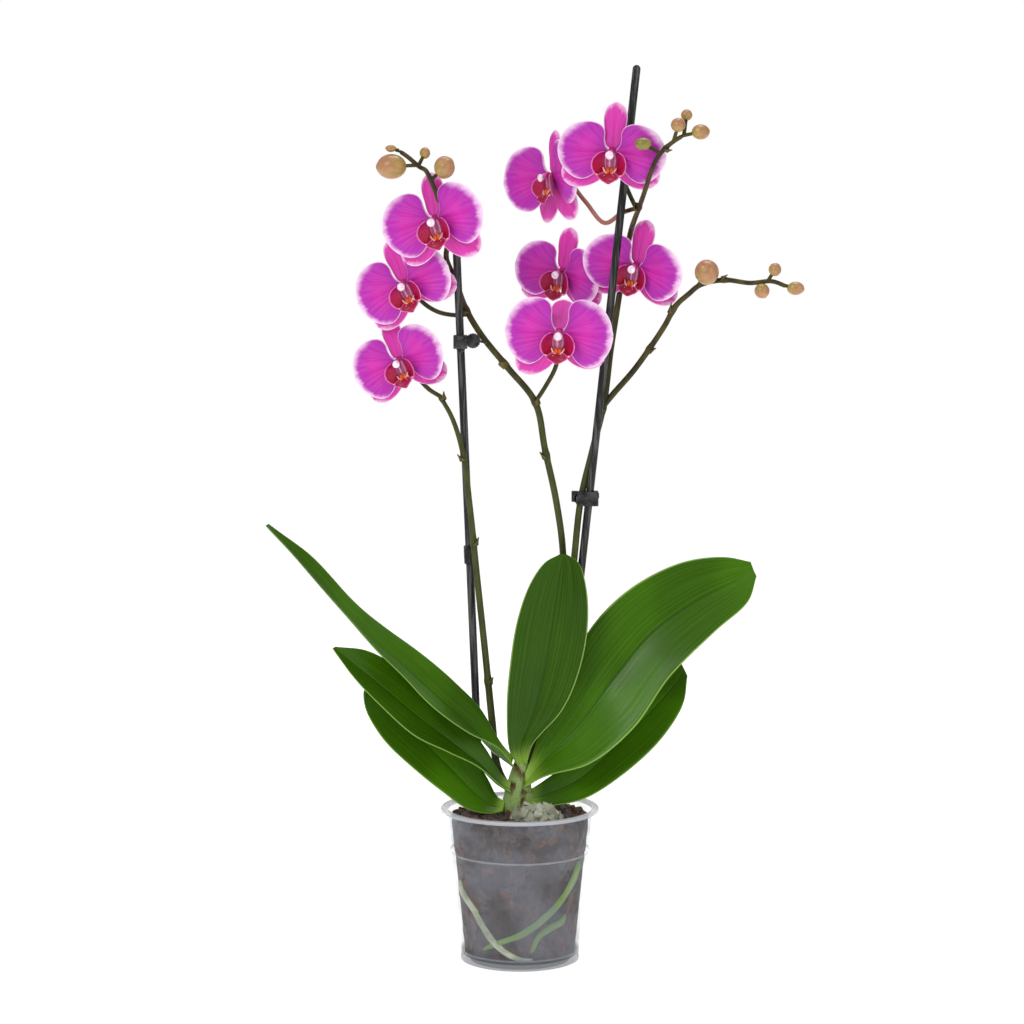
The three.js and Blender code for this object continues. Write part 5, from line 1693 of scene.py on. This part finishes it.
class ORCHID_OT_clips(bpy.types.Operator):
    """Makes the two black clips and the short sleeve on the left stake"""
    bl_idname = "orchid.clips"
    bl_label = "Clips"

    def execute(self, context):
        left = stake_at("stake_left", 470)
        clip_object("clip_left", [
            block(left + (0, -3.6, 0), (10.5, 3.2, 10)), block(left + (0, 3.6, 0), (10.5, 3.2, 10)),
            block(left + (-4.2, 0, 0), (2.1, 10.5, 10)), block(left + (4.2, 0, 0), (2.1, 10.5, 10)),
            block(left + (0.3, 0, -5.5), (5, 6, 5), turn=45),
            block(left + (0.3, -4.2, 1.2), (6.4, 3.4, 5.2)),
        ], [
            ribbed_wheel(left + (9.4, 0, 0.8), 5.6, 7),
            tube([left + (12, 0, 1), (-24.4, 5.2, 469)], [0.9, 0.9, 0.8], sides=12, steps=6),
        ])
        right = stake_at("stake_right", 351)
        clip_object("clip_right", [
            block(right + (1.2, -3.9, 0), (11.5, 3, 11)), block(right + (1.2, 3.9, 0), (11.5, 3, 11)),
            block(right + (-3.6, 0, 0), (2, 11, 11)), block(right + (5.8, 0, 0), (2.2, 11, 11)),
            block((57.2, right[1] - 1.5, 353.5), (5, 7, 4)), block((41.4, 14, 352.5), (5, 7, 8)),
        ], [ribbed_wheel((46, 15, 351), 5.4, 9)])
        ends = [stake_at("stake_left", z) for z in (301, 317)]
        sleeve = tube(ends, [4.2, 4.3, 4.3, 4.2], sides=24, steps=12)
        black = finish_named("Clip Black", clip_black)
        keep(mesh_object("sleeve_left_band", sleeve, [black], edged=True), "clip", "sleeve_left")
        return {"FINISHED"}


# ---- stage ----
# Lights: where they are, what they face, their width and their power, in metres and watts.
LIGHTS = {
    "key_light": {"at": (-1.3, -1.9, 1.9), "aim": (0, 0, 0.4), "width": 1.0, "power": 26},
    "fill_light": {"at": (1.6, -1.5, 1.0), "aim": (0, 0, 0.4), "width": 1.4, "power": 8},
    "top_light": {"at": (0.2, 0.5, 2.3), "aim": (0, 0, 0.3), "width": 1.2, "power": 16},
}
# The camera: its place in metres, its focal length in pixels and the degrees it looks down.
CAMERA = {"at": (-0.006, -2.5, 0.637), "focal": 3350, "down": 6.725}
IMAGE_PIXELS, SENSOR_WIDTH = 1024, 36
FLOOR_HALF, FLOOR_DEPTH = 3000, 12


def floor_shape():
    square = [(-FLOOR_HALF, -FLOOR_HALF), (FLOOR_HALF, -FLOOR_HALF), (FLOOR_HALF, FLOOR_HALF),
              (-FLOOR_HALF, FLOOR_HALF)]
    points = [(x, y, z) for z in (0, -FLOOR_DEPTH) for x, y in square]
    faces = [(0, 1, 2, 3), (7, 6, 5, 4), (0, 4, 5, 1), (1, 5, 6, 2), (2, 6, 7, 3), (3, 7, 4, 0)]
    return Shape(points, faces)


def area_light(name, at, aim, width, power):
    lamp = bpy.data.lights.new(name, "AREA")
    lamp.shape, lamp.size, lamp.energy = "DISK", width, power
    obj = new_object(name, lamp)
    obj.location = at
    obj.rotation_euler = (Vector(aim) - Vector(at)).to_track_quat("-Z", "Y").to_euler()


def white_world():
    """Surroundings that are white to the camera and half as bright for what they light."""
    world = bpy.data.worlds.new("Studio")
    world.use_nodes = True
    g = Graph(world.node_tree)
    nodes = world.node_tree.nodes
    surround = next(node for node in nodes if node.bl_idname == "ShaderNodeBackground")
    seen = g.add("ShaderNodeLightPath").outputs["Is Camera Ray"]
    strength = g.add("ShaderNodeMapRange", {"Value": seen, "To Min": 0.5, "To Max": 1.0}).outputs[0]
    g.give(surround, {"Strength": strength, "Color": (1, 1, 1, 1)})
    return world


class ORCHID_OT_stage(bpy.types.Operator):
    """Makes the pale floor, the soft lights, the white surroundings and the camera"""
    bl_idname = "orchid.stage"
    bl_label = "Stage"

    def execute(self, context):
        scene = context.scene
        mesh_object("floor", floor_shape(), [finish_named("Floor White", floor_white)])
        scene.world = white_world()
        for name, light in LIGHTS.items():
            area_light(name, **light)
        camera = bpy.data.cameras.new("photo_camera")
        camera.sensor_width, camera.lens = SENSOR_WIDTH, CAMERA["focal"] / IMAGE_PIXELS * SENSOR_WIDTH
        camera.clip_end = 20
        eye = new_object("photo_camera", camera)
        eye.location = CAMERA["at"]
        eye.rotation_euler = (math.radians(90 - CAMERA["down"]), 0, 0)
        scene.camera = eye
        scene.view_settings.view_transform = "Standard"
        return {"FINISHED"}


# ---- sizes and colours that can be changed ----
def colour_property(name, description, red, green, blue):
    return bpy.props.FloatVectorProperty(
        name=name, description=description, subtype="COLOR", size=4, min=0, max=1,
        default=srgb(red, green, blue))


class OrchidSizes(bpy.types.PropertyGroup):
    leaf_thickness: bpy.props.FloatProperty(
        name="Leaf Thickness", description="Thickness of a leaf at its middle", default=0.002,
        min=0.0006, max=0.004, subtype="DISTANCE", unit="LENGTH")
    chip_size: bpy.props.FloatProperty(
        name="Chip Size", description="Length of a common bark chip", default=0.0085,
        min=0.003, max=0.015, subtype="DISTANCE", unit="LENGTH")


class OrchidColours(bpy.types.PropertyGroup):
    petal: colour_property("Petal", "Middle of a petal", 205, 34, 168)
    petal_violet: colour_property("Petal Violet", "Petal just inside its faded edge", 172, 34, 166)
    petal_foot: colour_property("Petal Foot", "Petal near the bloom's middle", 172, 22, 130)
    petal_rim: colour_property("Petal Rim", "Faded outer part of a petal", 246, 214, 240)
    sepal: colour_property("Sepal", "Middle of a sepal", 204, 48, 162)
    sepal_foot: colour_property("Sepal Foot", "Sepal near the bloom's middle", 160, 24, 104)
    leaf: colour_property("Leaf", "Top of a leaf", 62, 108, 4)
    stem: colour_property("Stem", "Green parts of the stems", 66, 74, 30)
    crown: colour_property("Crown", "Leaf sheaths of the crown", 112, 150, 20)
    stake: colour_property("Stake", "Support stakes", 30, 28, 28)
    clip: colour_property("Clip", "Clips and sleeve", 12, 12, 14)
    pot_plastic: colour_property("Pot", "Haze of the clear pot", 138, 144, 156)
    bark: colour_property("Bark", "Common bark chip", 98, 74, 60)
    root: colour_property("Root", "Dry root skin", 186, 196, 160)
    crumbs: colour_property("Crumbs", "Pale crumbs on the bark", 178, 182, 152)


OPERATORS = [
    ORCHID_OT_pot, ORCHID_OT_bark, ORCHID_OT_roots, ORCHID_OT_crumbs, ORCHID_OT_crown,
    ORCHID_OT_leaves, ORCHID_OT_spikes, ORCHID_OT_stakes, ORCHID_OT_clips, ORCHID_OT_blooms,
    ORCHID_OT_lips, ORCHID_OT_buds, ORCHID_OT_stage,
]


class ORCHID_PT_pieces(bpy.types.Panel):
    """Lists the pieces of the orchid and their sizes and colours"""
    bl_idname = "ORCHID_PT_pieces"
    bl_label = "Potted Orchid"
    bl_space_type = "VIEW_3D"
    bl_region_type = "UI"
    bl_category = "Orchid"

    def draw(self, context):
        layout = self.layout
        for group in (context.scene.orchid_sizes, context.scene.orchid_colours):
            for key in group.__annotations__:
                layout.prop(group, key)
        for operator in OPERATORS:
            layout.operator(operator.bl_idname)


CLASSES = [OrchidSizes, OrchidColours, *OPERATORS, ORCHID_PT_pieces]


def register():
    for cls in CLASSES:
        bpy.utils.register_class(cls)
    bpy.types.Scene.orchid_sizes = bpy.props.PointerProperty(type=OrchidSizes)
    bpy.types.Scene.orchid_colours = bpy.props.PointerProperty(type=OrchidColours)


def unregister():
    del bpy.types.Scene.orchid_colours
    del bpy.types.Scene.orchid_sizes
    for cls in reversed(CLASSES):
        bpy.utils.unregister_class(cls)


def main():
    register()
    for operator in OPERATORS:
        group, name = operator.bl_idname.split(".")
        getattr(getattr(bpy.ops, group), name)()


if __name__ == "__main__":
    main()
